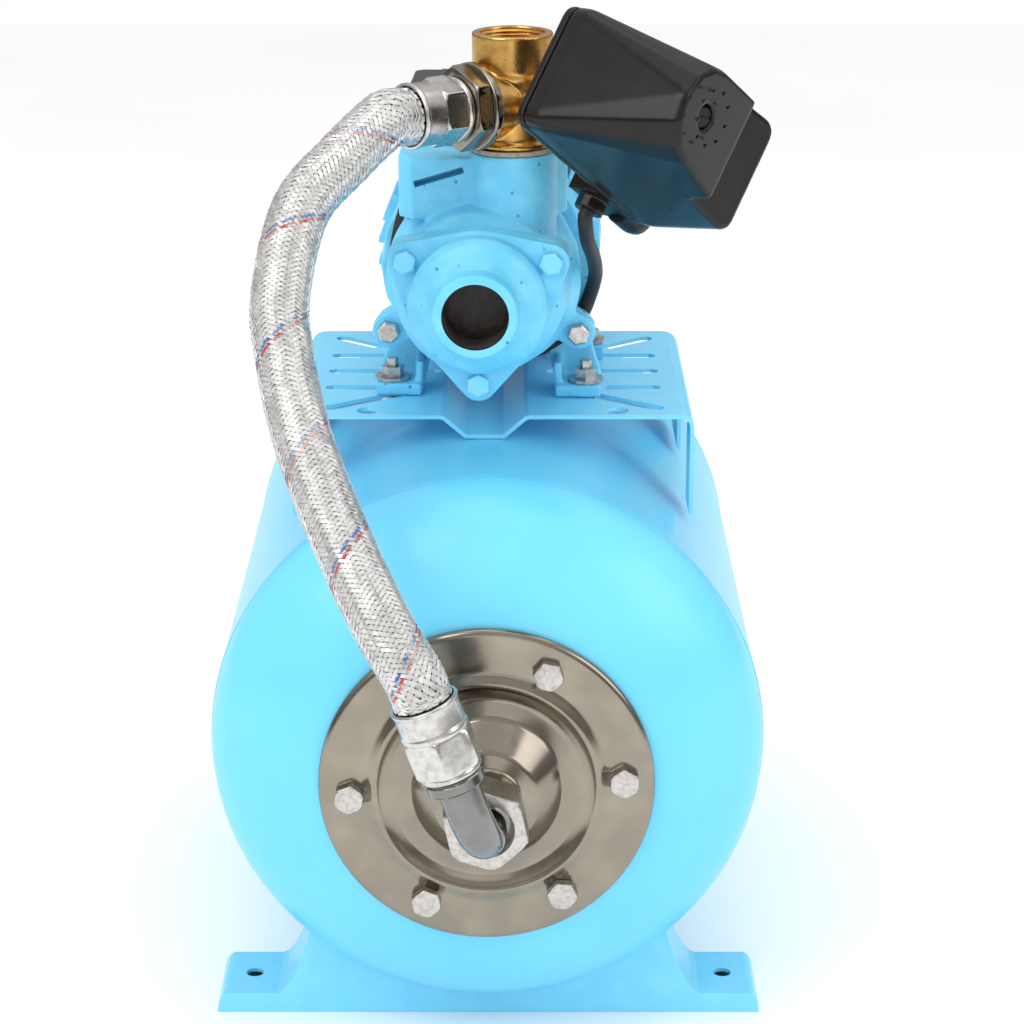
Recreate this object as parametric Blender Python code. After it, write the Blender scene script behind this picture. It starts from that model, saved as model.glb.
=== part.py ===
"""Booster pump set: a peripheral pump on a pressure tank, with hose, brass fitting and pressure switch.

Metres, +Z up. The tank's flange faces -Y, and the set stands on its two pressed feet at z = 0.
The front-view frames used below have X to the right, Y up and Z towards someone facing that piece.
"""

import math

import bmesh
import bpy
from mathutils import Matrix, Vector

CLEAR = 0.0003
HOLE_CLEAR = 0.0006
FACET_TURN = 7.0
ROOT_IN = 0.002

# Pressure tank
TANK_RADIUS = 0.135
TANK_SHELL_LENGTH = 0.290
DOME_DEPTH = 0.062
TANK_WALL = 0.0016
TANK_AXIS_HEIGHT = 0.150
COLLAR_RADIUS = 0.079
COLLAR_THICKNESS = 0.006
MOUTH_RADIUS = 0.046
MEMBRANE_LIP = 0.003
MEMBRANE_WALL = 0.002
MEMBRANE_RADIUS = 0.104
MEMBRANE_LENGTH = 0.290

# Flange, its bolts and the elbow's nut
FLANGE_RADIUS = 0.080
FLANGE_SHEET = 0.0025
FLANGE_BEAD_RADIUS = 0.053
FLANGE_DISH_RADIUS = 0.036
FLANGE_HUB_FORWARD = 0.010
BOLT_CIRCLE_RADIUS = 0.065
BOLT_COUNT = 6
FIRST_BOLT_ANGLE = 3.6
BOLT_RADIUS = 0.004
BOLT_HEAD_FLATS = 0.013
BOLT_HEAD_HEIGHT = 0.0053
BOLT_LENGTH = 0.020
STUB_RADIUS = 0.0164
STUB_BORE_RADIUS = 0.0125
STUB_END = 0.034
PORT_NUT_FLATS = 0.036
PORT_NUT_BACK = 0.022
PORT_NUT_FRONT = 0.042
PORT_NUT_WALL = 0.0045

# Chrome elbow and hose
ELBOW_RADIUS = 0.00975
ELBOW_WALL = 0.0012
ELBOW_COLLAR_RADIUS = 0.0155
ELBOW_BEND = 0.022
ELBOW_REACH = 0.065
ELBOW_TILT = 20.0
ELBOW_LEG_END = 0.050
FERRULE_RADIUS = 0.0157
FERRULE_FLATS = 0.029
LOWER_FERRULE_START = 0.0425
LOWER_FERRULE_LENGTH = 0.0365
UPPER_NUT_LENGTH = 0.0288
HOSE_RADIUS = 0.0138

# Feet
FOOT_LENGTH = 0.275
FOOT_DEPTH = 0.044
FOOT_SHEET = 0.002
FOOT_PAD_HEIGHT = 0.0105
FOOT_PAD_INNER = 0.107
FOOT_TIP_ANGLE = 41.0
FOOT_HOLE_SPACING = 0.240
FOOT_HOLE_RADIUS = 0.0045

# Platform over the tank
PLATFORM_WIDTH = 0.200
PLATFORM_LENGTH = 0.158
PLATFORM_FRONT = 0.1245
PLATFORM_SHEET = 0.002
PLATFORM_OFFSET = 0.0024
PLATFORM_BEND = 0.006
PLATFORM_CORNER = 0.011
CHANNEL_OFFSET = -0.0039
CHANNEL_TOP_WIDTH = 0.0412
CHANNEL_FLOOR_WIDTH = 0.018
CHANNEL_DEPTH = 0.010
FRONT_TAB = 0.0265
REAR_TAB = 0.0505
SLOT_WIDTH = 0.008
LONG_SLOT_INNER = 0.031
SLOT_OUTER = 0.082
FRONT_HOLE_SPACING = 0.1242
FRONT_HOLE_STATION = 0.0082
FRONT_HOLE_RADIUS = 0.0056

# Pump
PUMP_OFFSET = -0.0016
PUMP_STATION = 0.166
PUMP_SHAFT_HEIGHT = 0.063
PUMP_YAW = -2.4
CASING_RADIUS = 0.044
CASING_RING_RADIUS = 0.0485
CASING_BACK = 0.006
CASING_FRONT = 0.0572
CASING_RING_THICKNESS = 0.008
COVER_THICKNESS = 0.006
COVER_DISC_RADIUS = 0.0355
COVER_LOBE_RADIUS = 0.0088
COVER_BOLT_CIRCLE = 0.0405
SUCTION_BOSS_RADIUS = 0.0203
SUCTION_FACE = 0.0905
SUCTION_DEPTH = 0.0200
PORT_BORE_RADIUS = 0.0153
OUTLET_OFFSET = 0.0149
OUTLET_STATION = 0.025
OUTLET_RADIUS = 0.0215
OUTLET_NECK = 0.0493
OUTLET_HEIGHT = 0.067
SHOULDER_LEFT = 0.0406
SHOULDER_RIGHT = 0.0412
SHOULDER_LOW = 0.034
SHOULDER_TOP = 0.0647
SHOULDER_FRONT = 0.035
EAR_X = 0.0474
EAR_Y = -0.0280
EAR_RADIUS = 0.0085
PUMP_BOLT_RADIUS = 0.003
PUMP_BOLT_FLATS = 0.010
PUMP_BOLT_HEAD = 0.004
PUMP_BOLT_LENGTH = 0.014
IMPELLER_RADIUS = 0.030
IMPELLER_WIDTH = 0.010
IMPELLER_BACK = CASING_FRONT - 0.0113
IMPELLER_VANES = 18
VANE_DEPTH = 0.006
CHAMBER_CLEARANCE = 0.0005
CHANNEL_RADIUS = 0.034
CHANNEL_SIDE = 0.003
SEAL_RADIUS = 0.0095
SEAL_BORE_RADIUS = 0.0120
SHAFT_RADIUS = 0.006
SHAFT_END_RADIUS = 0.005
PAD_WIDTH = 0.023
PAD_THICKNESS = 0.0062
PAD_SPACING = 0.0905
PAD_FRONT = 0.0100
FIXING_SPACING = 0.0980
FEET_OFFSET = 0.0020
FIXING_STEP = 0.074
FIXING_RADIUS = 0.003
FIXING_WASHER_RADIUS = 0.009
FIXING_NUT_FLATS = 0.010
FIXING_TAIL = 0.0040

# Motor
WAIST_RADIUS = 0.038
MOTOR_FRONT = -0.012
MOTOR_RADIUS = 0.053
BELL_RADIUS = 0.0535
BELL_WALL = 0.0045
MOTOR_FIN_RADIUS = 0.057
MOTOR_FINS = 30
MOTOR_FIN_THICKNESS = 0.0026
HOUSING_FRONT = -0.040
BEARING_FRONT = -0.0120
HOUSING_REAR = -0.124
STATOR_RADIUS = 0.0463
ROTOR_RADIUS = 0.0279
AIR_GAP = 0.0009
BEARING_RADIUS = 0.016
BEARING_WIDTH = 0.010
SHIELD_THICKNESS = 0.013
FAN_RADIUS = 0.046
FAN_BLADES = 8
FAN_COVER_REAR = -0.168
FAN_COVER_WALL = 0.0014
GRILLE_RINGS = 3
GRILLE_ARCS = 3
TERMINAL_WIDTH = 0.0905
TERMINAL_LENGTH = 0.062
TERMINAL_FRONT = -0.046
TERMINAL_LOW = 0.0467
TERMINAL_SPLIT = 0.0685
TERMINAL_TOP = 0.0827
LEAD_GLAND_X = -0.030
LEAD_GLAND_Y = 0.0580
LEAD_GLAND_RADIUS = 0.0064
LEAD_GLAND_LENGTH = 0.010

# Brass fitting, gauge and switch
FITTING_HEIGHT = 0.057
FITTING_RADIUS = 0.0175
SOCKET_RADIUS = 0.0195
SOCKET_BORE = 0.0152
SEAL_RING_THICKNESS = 0.002
BRANCH_HEIGHT = 0.024
BRANCH_REACH = 0.022
BRANCH_RADIUS = 0.0185
HOSE_PORT_AZIMUTH = 220.0
SWITCH_PORT_AZIMUTH = -45.0
GAUGE_PORT_AZIMUTH = 45.0
SMALL_PORT_REACH = 0.026
SMALL_PORT_RADIUS = 0.0095
SMALL_BORE_RADIUS = 0.0058
ADAPTER_RING_RADIUS = 0.021
ADAPTER_FLATS = 0.036
GAUGE_RADIUS = 0.020
GAUGE_DEPTH = 0.020
GAUGE_BACK = 0.037
SWITCH_TURN = -36.8
SWITCH_LENGTH = 0.108
SWITCH_WIDTH = 0.062
SWITCH_CORNER = 0.007
SWITCH_BACK = 0.053
SWITCH_RIM = 0.0615
SWITCH_WALL = 0.002
SWITCH_TRAY_INSET = 0.010
RIM_THICKNESS = 0.004
CHAMBER_START = 0.0195
CHAMBER_END = 0.0495
CHAMBER_BACK = 0.0395
COVER_SKIRT = 0.012
COVER_HIGH = 0.081
COVER_NOSE_HEIGHT = 0.066
COVER_STEP_HEIGHT = 0.060
COVER_NOSE = 0.0435
COVER_NOSE_SPREAD = 0.005
COVER_CREST_RADIUS = 0.023
COVER_CREST_X = -0.020
COVER_STEP_X = 0.011
COVER_SCREW_X = -0.022
SCREW_RECESS = 0.004
SCREW_HOLE_RADIUS = 0.0019
POST_TOP = 0.072
LEVER_PIVOT_X = 0.022
LEVER_LOW = 0.0590
LEVER_THICKNESS = 0.0018
SPRING_HIGH = 0.088
GLAND_RADIUS = 0.0075
GLAND_LENGTH = 0.0055
GLAND_STATION = 0.030
GLAND_DEPTH = 0.0485
BLANK_RADIUS = 0.0090
BLANK_END = 0.0600
BLANK_LEVEL = -0.0235
BLANK_DEPTH = 0.0500
LEAD_RADIUS = 0.00365

TANK_CROWN = TANK_AXIS_HEIGHT + TANK_RADIUS
PLATFORM_TOP = TANK_CROWN + CLEAR + PLATFORM_SHEET + CHANNEL_DEPTH
PUMP_AXIS_HEIGHT = PLATFORM_TOP + PUMP_SHAFT_HEIGHT
FLANGE_FACE = -(BOLT_HEAD_HEIGHT + CLEAR)
FLANGE_BACK = FLANGE_FACE - FLANGE_SHEET
LIP_FRONT = FLANGE_BACK - CLEAR
LIP_BACK = LIP_FRONT - MEMBRANE_LIP
COLLAR_FRONT = LIP_BACK - CLEAR
SEAM_FRONT = COLLAR_FRONT - DOME_DEPTH * math.sqrt(1 - (COLLAR_RADIUS / TANK_RADIUS) ** 2)
SEAM_REAR = SEAM_FRONT - TANK_SHELL_LENGTH
VALVE_RADIUS = 0.0042
VALVE_LENGTH = 0.018
VALVE_CAP_RADIUS = 0.0058
TANK_REAR = SEAM_REAR - DOME_DEPTH
VALVE_CAP_END = TANK_REAR - VALVE_LENGTH - 0.003
FRONT_REACH = ELBOW_REACH + ELBOW_RADIUS
REFERENCE_Y = (-VALVE_CAP_END - FRONT_REACH) / 2

LARGE = 26
ROUND = 18
SMALL = 10


def finish(name, colour, roughness, metallic=0.0):
    """A Principled material of one colour."""
    material = bpy.data.materials.new(name)
    material.use_nodes = True
    shader = material.node_tree.nodes["Principled BSDF"]
    shader.inputs["Base Color"].default_value = (*colour, 1.0)
    shader.inputs["Roughness"].default_value = roughness
    shader.inputs["Metallic"].default_value = metallic
    material.diffuse_color = (*colour, 1.0)
    return material


def frame(name, parent, location=(0, 0, 0), turn=(0, 0, 0)):
    """An empty that carries the pieces drawn in its own axes; turn is in degrees."""
    empty = bpy.data.objects.new(name, None)
    bpy.context.scene.collection.objects.link(empty)
    empty.parent = parent
    empty.location = location
    empty.rotation_euler = [math.radians(angle) for angle in turn]
    return empty


def put(name, shape, parent, material=None, smooth=True, sharp=35.0):
    """Turns a bmesh into an object of the set."""
    bmesh.ops.recalc_face_normals(shape, faces=shape.faces)
    mesh = bpy.data.meshes.new(name)
    shape.to_mesh(mesh)
    shape.free()
    if material is not None:
        mesh.materials.append(material)
    if smooth:
        mesh.shade_smooth()
        mesh.set_sharp_from_angle(angle=math.radians(sharp))
    piece = bpy.data.objects.new(name, mesh)
    bpy.context.scene.collection.objects.link(piece)
    piece.parent = parent
    return piece


def shape_tool(piece, shape, operation, label, parent=None):
    """Joins or cuts a piece with a hidden shape, drawn in the piece's frame unless another is named."""
    tool = put(piece.name + "." + label, shape, parent or piece.parent, smooth=False)
    tool.hide_render = True
    tool.display_type = "WIRE"
    modifier = piece.modifiers.new(label, "BOOLEAN")
    modifier.operation = operation
    modifier.solver = "EXACT"
    modifier.object = tool


def join(piece, shape, label):
    shape_tool(piece, shape, "UNION", label)


def cut(piece, shape, label, parent=None):
    shape_tool(piece, shape, "DIFFERENCE", label, parent)


def turned(profile, segments=ROUND):
    """A solid of revolution about Z from (radius, height) points in order round its section."""
    shape = bmesh.new()
    rings = []
    for radius, height in profile:
        ring = []
        if radius > 0:
            for step in range(segments):
                angle = 2 * math.pi * step / segments
                ring.append(shape.verts.new((radius * math.cos(angle), radius * math.sin(angle), height)))
        rings.append(ring)
    for index, ring in enumerate(rings):
        after = (index + 1) % len(rings)
        if ring and rings[after]:
            bridge(shape, ring, rings[after])
        elif ring or rings[after]:
            cap(shape, ring or rings[after], profile[after][1] if ring else profile[index][1])
    return shape


def bridge(shape, low, high):
    """Faces between two loops with as many points each."""
    for index in range(len(low)):
        after = (index + 1) % len(low)
        shape.faces.new((low[index], low[after], high[after], high[index]))


def cap(shape, ring, height):
    """Closes a ring with a flat face, or with a cone where the axis is met at another height."""
    if abs(ring[0].co.z - height) < 1e-9:
        shape.faces.new(ring)
        return
    apex = shape.verts.new((0, 0, height))
    for index, corner in enumerate(ring):
        shape.faces.new((corner, ring[(index + 1) % len(ring)], apex))


def rod(radius, low, high, segments=24):
    return turned([(0, low), (radius, low), (radius, high), (0, high)], segments)


def drill(radius, low, high, segments=8):
    """A round cutter, its facets turned a little from those of the piece."""
    return moved(rod(radius, low, high, segments), turn=FACET_TURN)


def tube(outer, inner, low, high, segments=24):
    return turned([(inner, low), (outer, low), (outer, high), (inner, high)], segments)


def prism(outline, low, high):
    """An outline in X and Y drawn out along Z."""
    shape = bmesh.new()
    floor = [shape.verts.new((x, y, low)) for x, y in outline]
    roof = [shape.verts.new((x, y, high)) for x, y in outline]
    shape.faces.new(floor[::-1])
    shape.faces.new(roof)
    bridge(shape, floor, roof)
    return shape


def block(x, y, z):
    """A box from (low, high) pairs."""
    return prism([(x[0], y[0]), (x[1], y[0]), (x[1], y[1]), (x[0], y[1])], z[0], z[1])


def lofted(sections):
    """A closed solid through sections with as many points each."""
    shape = bmesh.new()
    loops = [[shape.verts.new(point) for point in section] for section in sections]
    for low, high in zip(loops, loops[1:]):
        bridge(shape, low, high)
    shape.faces.new(loops[0][::-1])
    shape.faces.new(loops[-1])
    return shape


def moved(shape, location=(0, 0, 0), turn=0.0, axis="Z"):
    """Turns a shape about an axis of its frame, in degrees, and then moves it."""
    matrix = Matrix.Translation(location) @ Matrix.Rotation(math.radians(turn), 4, axis)
    bmesh.ops.transform(shape, matrix=matrix, verts=shape.verts)
    return shape


def upright(shape, location=(0, 0, 0)):
    """Stands a shape drawn along Z on the frame's own Y axis."""
    return moved(shape, location, -90.0, "X")


def gathered(shapes):
    """Several shapes that don't touch, as one tool."""
    whole = bmesh.new()
    for shape in shapes:
        copies = {corner: whole.verts.new(corner.co) for corner in shape.verts}
        for face in shape.faces:
            whole.faces.new([copies[corner] for corner in face.verts])
        shape.free()
    return whole


def arc(centre, radius, start, end, steps):
    """Points on a circle, from one angle to another in degrees."""
    points = []
    for step in range(steps + 1):
        angle = math.radians(start + (end - start) * step / steps)
        points.append((centre[0] + radius * math.cos(angle), centre[1] + radius * math.sin(angle)))
    return points


def rounded_box(width, height, radius, steps=3):
    """The outline of a rectangle with round corners, centred on the origin."""
    outline = []
    corners = ((1, -1, -90), (1, 1, 0), (-1, 1, 90), (-1, -1, 180))
    for side, level, start in corners:
        centre = (side * (width / 2 - radius), level * (height / 2 - radius))
        outline += arc(centre, radius, start, start + 90, steps)
    return outline


def capsule(start, end, width, steps=6):
    """The outline of a slot with round ends between two centres."""
    angle = math.degrees(math.atan2(end[1] - start[1], end[0] - start[0]))
    outline = arc(end, width / 2, angle - 90, angle + 90, steps)
    return outline + arc(start, width / 2, angle + 90, angle + 270, steps)


def hexagon(across_flats, turn=0.0):
    return arc((0, 0), across_flats / math.sqrt(3), turn, turn + 300, 5)


def hexagon_bolt(flats, head, radius, length):
    """A hexagon bolt along -Z, its head standing on z = 0."""
    corner = flats / math.sqrt(3)
    shape = bmesh.new()
    loops = []
    steps = ((flats / 2 * 0.94, head), (corner, head * 0.86), (corner, 0.0), (radius, 0.0), (radius, -length))
    for size, height in steps:
        loops.append([shape.verts.new((x, y, height)) for x, y in arc((0, 0), size, 0, 300, 5)])
    for high, low in zip(loops, loops[1:]):
        bridge(shape, low, high)
    shape.faces.new(loops[0])
    shape.faces.new(loops[-1][::-1])
    return shape


def pipe(path, outer, inner, segments=16):
    """A hollow tube along a path, open at both ends."""
    points = [Vector(point) for point in path]
    shape = bmesh.new()
    side = Vector((1, 0, 0))
    walls = ([], [])
    for index, point in enumerate(points):
        before = points[max(index - 1, 0)]
        after = points[min(index + 1, len(points) - 1)]
        along = (after - before).normalized()
        side = (side - along * side.dot(along)).normalized()
        other = along.cross(side)
        for wall, radius in zip(walls, (outer, inner)):
            ring = []
            for step in range(segments):
                angle = 2 * math.pi * step / segments
                reach = side * (radius * math.cos(angle)) + other * (radius * math.sin(angle))
                ring.append(shape.verts.new(point + reach))
            wall.append(ring)
    outside, inside = walls
    loops = outside + inside[::-1]
    for index, ring in enumerate(loops):
        bridge(shape, ring, loops[(index + 1) % len(loops)])
    return shape


def smooth_route(points, spacing):
    """Points at even steps on a smooth curve through the route's own points."""
    ends = [points[0]] + [Vector(point) for point in points] + [points[-1]]
    ends = [Vector(point) for point in ends]
    fine = []
    for index in range(1, len(ends) - 2):
        before, start, end, after = ends[index - 1 : index + 3]
        for step in range(12):
            t = step / 12
            straight = 2 * start + (end - before) * t
            curve = (2 * before - 5 * start + 4 * end - after) * t * t
            bend = (3 * start - before - 3 * end + after) * t * t * t
            fine.append((straight + curve + bend) / 2)
    fine.append(ends[-1])
    lengths = [0.0]
    for start, end in zip(fine, fine[1:]):
        lengths.append(lengths[-1] + (end - start).length)
    count = max(2, round(lengths[-1] / spacing))
    route = []
    index = 0
    for step in range(count + 1):
        wanted = lengths[-1] * step / count
        while index < len(fine) - 2 and lengths[index + 1] < wanted:
            index += 1
        share = (wanted - lengths[index]) / (lengths[index + 1] - lengths[index])
        route.append(fine[index].lerp(fine[index + 1], min(share, 1.0)))
    return route


def cord(name, points, radius, spacing, sides, parent, material):
    """A round cord of one poly spline with closed ends, straight where it meets its two fittings."""
    curve = bpy.data.curves.new(name, "CURVE")
    curve.dimensions = "3D"
    curve.bevel_depth = radius
    curve.bevel_resolution = sides
    curve.use_fill_caps = True
    route = [points[0]] + smooth_route(points[1:-1], spacing) + [points[-1]]
    spline = curve.splines.new("POLY")
    spline.points.add(len(route) - 1)
    for target, point in zip(spline.points, route):
        target.co = (*point, 1.0)
    curve.materials.append(material)
    piece = bpy.data.objects.new(name, curve)
    bpy.context.scene.collection.objects.link(piece)
    piece.parent = parent
    return piece


def dome(radius, depth, seam, steps, start=90.0, end=0.0):
    """Points of an elliptical tank end; depth is signed, away from its seam."""
    points = []
    for step in range(steps + 1):
        angle = math.radians(start + (end - start) * step / steps)
        points.append((radius * math.cos(angle), seam + depth * math.sin(angle)))
    return points


def bolt_places():
    places = []
    for index in range(BOLT_COUNT):
        angle = math.radians(FIRST_BOLT_ANGLE + 360.0 * index / BOLT_COUNT)
        places.append((BOLT_CIRCLE_RADIUS * math.cos(angle), BOLT_CIRCLE_RADIUS * math.sin(angle)))
    return places


def bolt_holes(low, high):
    holes = []
    for x, y in bolt_places():
        holes.append(moved(drill(BOLT_RADIUS + HOLE_CLEAR, low, high), (x, y, 0)))
    return gathered(holes)


def build_tank(tank, finishes):
    """The welded shell, the membrane in it and the air valve at the rear, in the flange's frame."""
    start = math.degrees(math.acos(COLLAR_RADIUS / TANK_RADIUS))
    front = dome(TANK_RADIUS, DOME_DEPTH, SEAM_FRONT, 4, start, 0.0)
    rear_start = math.degrees(math.asin(math.sqrt(1 - (VALVE_CAP_RADIUS * 2 / TANK_RADIUS) ** 2)))
    rear = dome(TANK_RADIUS, -DOME_DEPTH, SEAM_REAR, 5, 0.0, rear_start)
    inner_radius = TANK_RADIUS - TANK_WALL
    inner_depth = DOME_DEPTH - TANK_WALL
    inner_start = math.degrees(math.acos(COLLAR_RADIUS / inner_radius))
    inner_front = dome(inner_radius, inner_depth, SEAM_FRONT, 3, inner_start, 0.0)
    inner_rear = dome(inner_radius, -inner_depth, SEAM_REAR, 4, 0.0, rear_start)
    hole = VALVE_RADIUS + CLEAR
    inner_collar = COLLAR_FRONT - COLLAR_THICKNESS
    profile = [(MOUTH_RADIUS, COLLAR_FRONT)] + front + rear
    profile += [(hole, rear[-1][1]), (hole, inner_rear[-1][1])]
    profile += inner_rear[::-1] + inner_front[:0:-1]
    profile += [(inner_front[0][0] - 0.002, inner_collar), (MOUTH_RADIUS, inner_collar)]
    shell = put("tank_shell", turned(profile, LARGE), tank, finishes["paint"])
    cut(shell, bolt_holes(inner_collar - ROOT_IN, COLLAR_FRONT + ROOT_IN), "bolt_holes")

    neck = MOUTH_RADIUS - 3 * CLEAR
    bulb_front = COLLAR_FRONT - COLLAR_THICKNESS - 0.016
    lip = COLLAR_RADIUS - 0.002
    outer = [(lip, LIP_FRONT), (lip, LIP_BACK), (neck, LIP_BACK), (neck, bulb_front)]
    middle = bulb_front - MEMBRANE_LENGTH / 2
    steps = 6
    for step in range(1, steps):
        angle = math.pi * step / steps
        reach = MEMBRANE_RADIUS * math.sin(angle) + neck * 0.5 * (1 - step / steps)
        outer.append((min(reach, MEMBRANE_RADIUS), middle + MEMBRANE_LENGTH / 2 * math.cos(angle)))
    tip = bulb_front - MEMBRANE_LENGTH
    inner = [(radius - MEMBRANE_WALL, height) for radius, height in outer[3:]]
    profile = outer + [(0, tip), (0, tip + MEMBRANE_WALL)] + inner[::-1] + [(neck - MEMBRANE_WALL, LIP_FRONT)]
    membrane = put("membrane", turned(profile, ROUND), tank, finishes["rubber"])
    cut(membrane, bolt_holes(LIP_BACK - ROOT_IN, LIP_FRONT + ROOT_IN), "bolt_holes")

    rear_face = rear[-1][1]
    stem = [
        (0, rear_face + 0.004),
        (VALVE_RADIUS, rear_face + 0.004),
        (VALVE_RADIUS, rear_face - CLEAR),
        (0.0075, rear_face - CLEAR),
        (0.0075, rear_face - 0.004),
        (0.0038, rear_face - 0.006),
        (0.0038, TANK_REAR - VALVE_LENGTH),
        (0.0022, TANK_REAR - VALVE_LENGTH),
        (0.0022, TANK_REAR - VALVE_LENGTH + 0.006),
        (0, TANK_REAR - VALVE_LENGTH + 0.006),
    ]
    put("air_valve", turned(stem, SMALL), tank, finishes["brass"])
    cap_mouth = TANK_REAR - VALVE_LENGTH + 0.009
    cap_profile = [
        (0.0038 + CLEAR, cap_mouth),
        (VALVE_CAP_RADIUS, cap_mouth),
        (VALVE_CAP_RADIUS, VALVE_CAP_END + 0.0008),
        (VALVE_CAP_RADIUS - 0.001, VALVE_CAP_END),
        (0, VALVE_CAP_END),
        (0, TANK_REAR - VALVE_LENGTH - CLEAR),
        (0.0038 + CLEAR, TANK_REAR - VALVE_LENGTH - CLEAR),
    ]
    put("air_valve_cap", turned(cap_profile, SMALL), tank, finishes["black"])


def build_flange(tank, finishes):
    """The pressed flange with its stub, its bolts, and the nut that holds the elbow."""
    sheet = FLANGE_SHEET
    rim = FLANGE_RADIUS
    bead = FLANGE_BEAD_RADIUS
    dish = FLANGE_DISH_RADIUS
    hub = FLANGE_HUB_FORWARD
    face = FLANGE_FACE
    front = [
        (STUB_BORE_RADIUS, STUB_END),
        (STUB_RADIUS, STUB_END),
        (STUB_RADIUS, hub + 0.001),
        (STUB_RADIUS + 0.008, hub - 0.001),
        (dish, face + 0.001),
        (dish + 0.009, face - 0.0015),
        (bead - 0.003, face + 0.0005),
        (bead, face + 0.003),
        (bead + 0.005, face),
        (rim - 0.002, face),
        (rim, face - sheet),
    ]
    back = [
        (bead + 0.005, face - sheet),
        (bead + 0.001, face - 0.0012),
        (bead - 0.002, face - sheet),
        (dish + 0.007, face - sheet),
        (dish - 0.002, face + 0.001 - sheet),
        (STUB_RADIUS + 0.006, hub - 0.001 - sheet),
        (STUB_BORE_RADIUS, hub - sheet),
    ]
    flange = put("tank_flange", turned(front + back, 20), tank, finishes["zinc"])
    cut(flange, bolt_holes(face - 0.01, face + 0.01), "bolt_holes")

    for index, (x, y) in enumerate(bolt_places(), start=1):
        shape = hexagon_bolt(BOLT_HEAD_FLATS, BOLT_HEAD_HEIGHT, BOLT_RADIUS, BOLT_LENGTH)
        moved(shape, (x, y, -BOLT_HEAD_HEIGHT), 17.0 * index)
        put("flange_bolt_" + str(index), shape, tank, finishes["zinc"], smooth=False)

    shoulder = PORT_NUT_FRONT - PORT_NUT_WALL
    shape = prism(hexagon(PORT_NUT_FLATS, 12.0), PORT_NUT_BACK, PORT_NUT_FRONT)
    nut = put("elbow_nut", shape, tank, finishes["steel"])
    cut(nut, drill(STUB_RADIUS + CLEAR, PORT_NUT_BACK - ROOT_IN, shoulder, ROUND), "thread_bore")
    cut(nut, drill(ELBOW_RADIUS + CLEAR, shoulder - ROOT_IN, PORT_NUT_FRONT + ROOT_IN, 16), "tube_hole")


def leg_direction():
    tilt = math.radians(ELBOW_TILT)
    return Vector((-math.sin(tilt), math.cos(tilt), 0))


def build_elbow(tank, finishes):
    """The chrome elbow with its collar, and the ferrule pressed on its leg."""
    leg = leg_direction()
    forward = Vector((0, 0, 1))
    path = [forward * (STUB_END + CLEAR), forward * (ELBOW_REACH - ELBOW_BEND)]
    centre = forward * (ELBOW_REACH - ELBOW_BEND) + leg * ELBOW_BEND
    for step in range(1, 5):
        angle = math.pi / 2 * step / 5
        path.append(centre - leg * (ELBOW_BEND * math.cos(angle)) + forward * (ELBOW_BEND * math.sin(angle)))
    path += [leg * ELBOW_BEND + forward * ELBOW_REACH, leg * ELBOW_LEG_END + forward * ELBOW_REACH]
    elbow = put("elbow", pipe(path, ELBOW_RADIUS, ELBOW_RADIUS - ELBOW_WALL, 12), tank, finishes["chrome"])
    shoulder = PORT_NUT_FRONT - PORT_NUT_WALL
    collar = tube(ELBOW_COLLAR_RADIUS, ELBOW_RADIUS - ELBOW_WALL / 2, STUB_END + CLEAR, shoulder - CLEAR, 16)
    join(elbow, collar, "collar")

    legs = frame("elbow_leg", tank, forward * ELBOW_REACH, (-90.0, 0, ELBOW_TILT))
    low = LOWER_FERRULE_START
    high = low + LOWER_FERRULE_LENGTH
    seat = ELBOW_LEG_END + CLEAR
    bore = ELBOW_RADIUS - ELBOW_WALL
    profile = [
        (ELBOW_RADIUS + CLEAR, low),
        (FERRULE_RADIUS - 0.001, low),
        (FERRULE_RADIUS, low + 0.002),
        (FERRULE_RADIUS, high - 0.001),
        (FERRULE_RADIUS - 0.001, high),
        (bore, high),
        (bore, seat),
        (ELBOW_RADIUS + CLEAR, seat),
    ]
    ferrule = put("lower_ferrule", turned(profile, 14), legs, finishes["nickel"])
    cut(ferrule, hexagon_flats(FERRULE_FLATS, low + 0.004, low + 0.021), "flats")
    return legs


def hexagon_flats(across, low, high):
    """What is left of a round bar's rim when a hexagon is milled from it."""
    shapes = []
    for side in range(6):
        slab = block((across / 2, across), (-across * 0.25, across * 0.25), (low, high))
        shapes.append(moved(slab, (0, 0, 0), 60.0 * side))
    return gathered(shapes)


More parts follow.
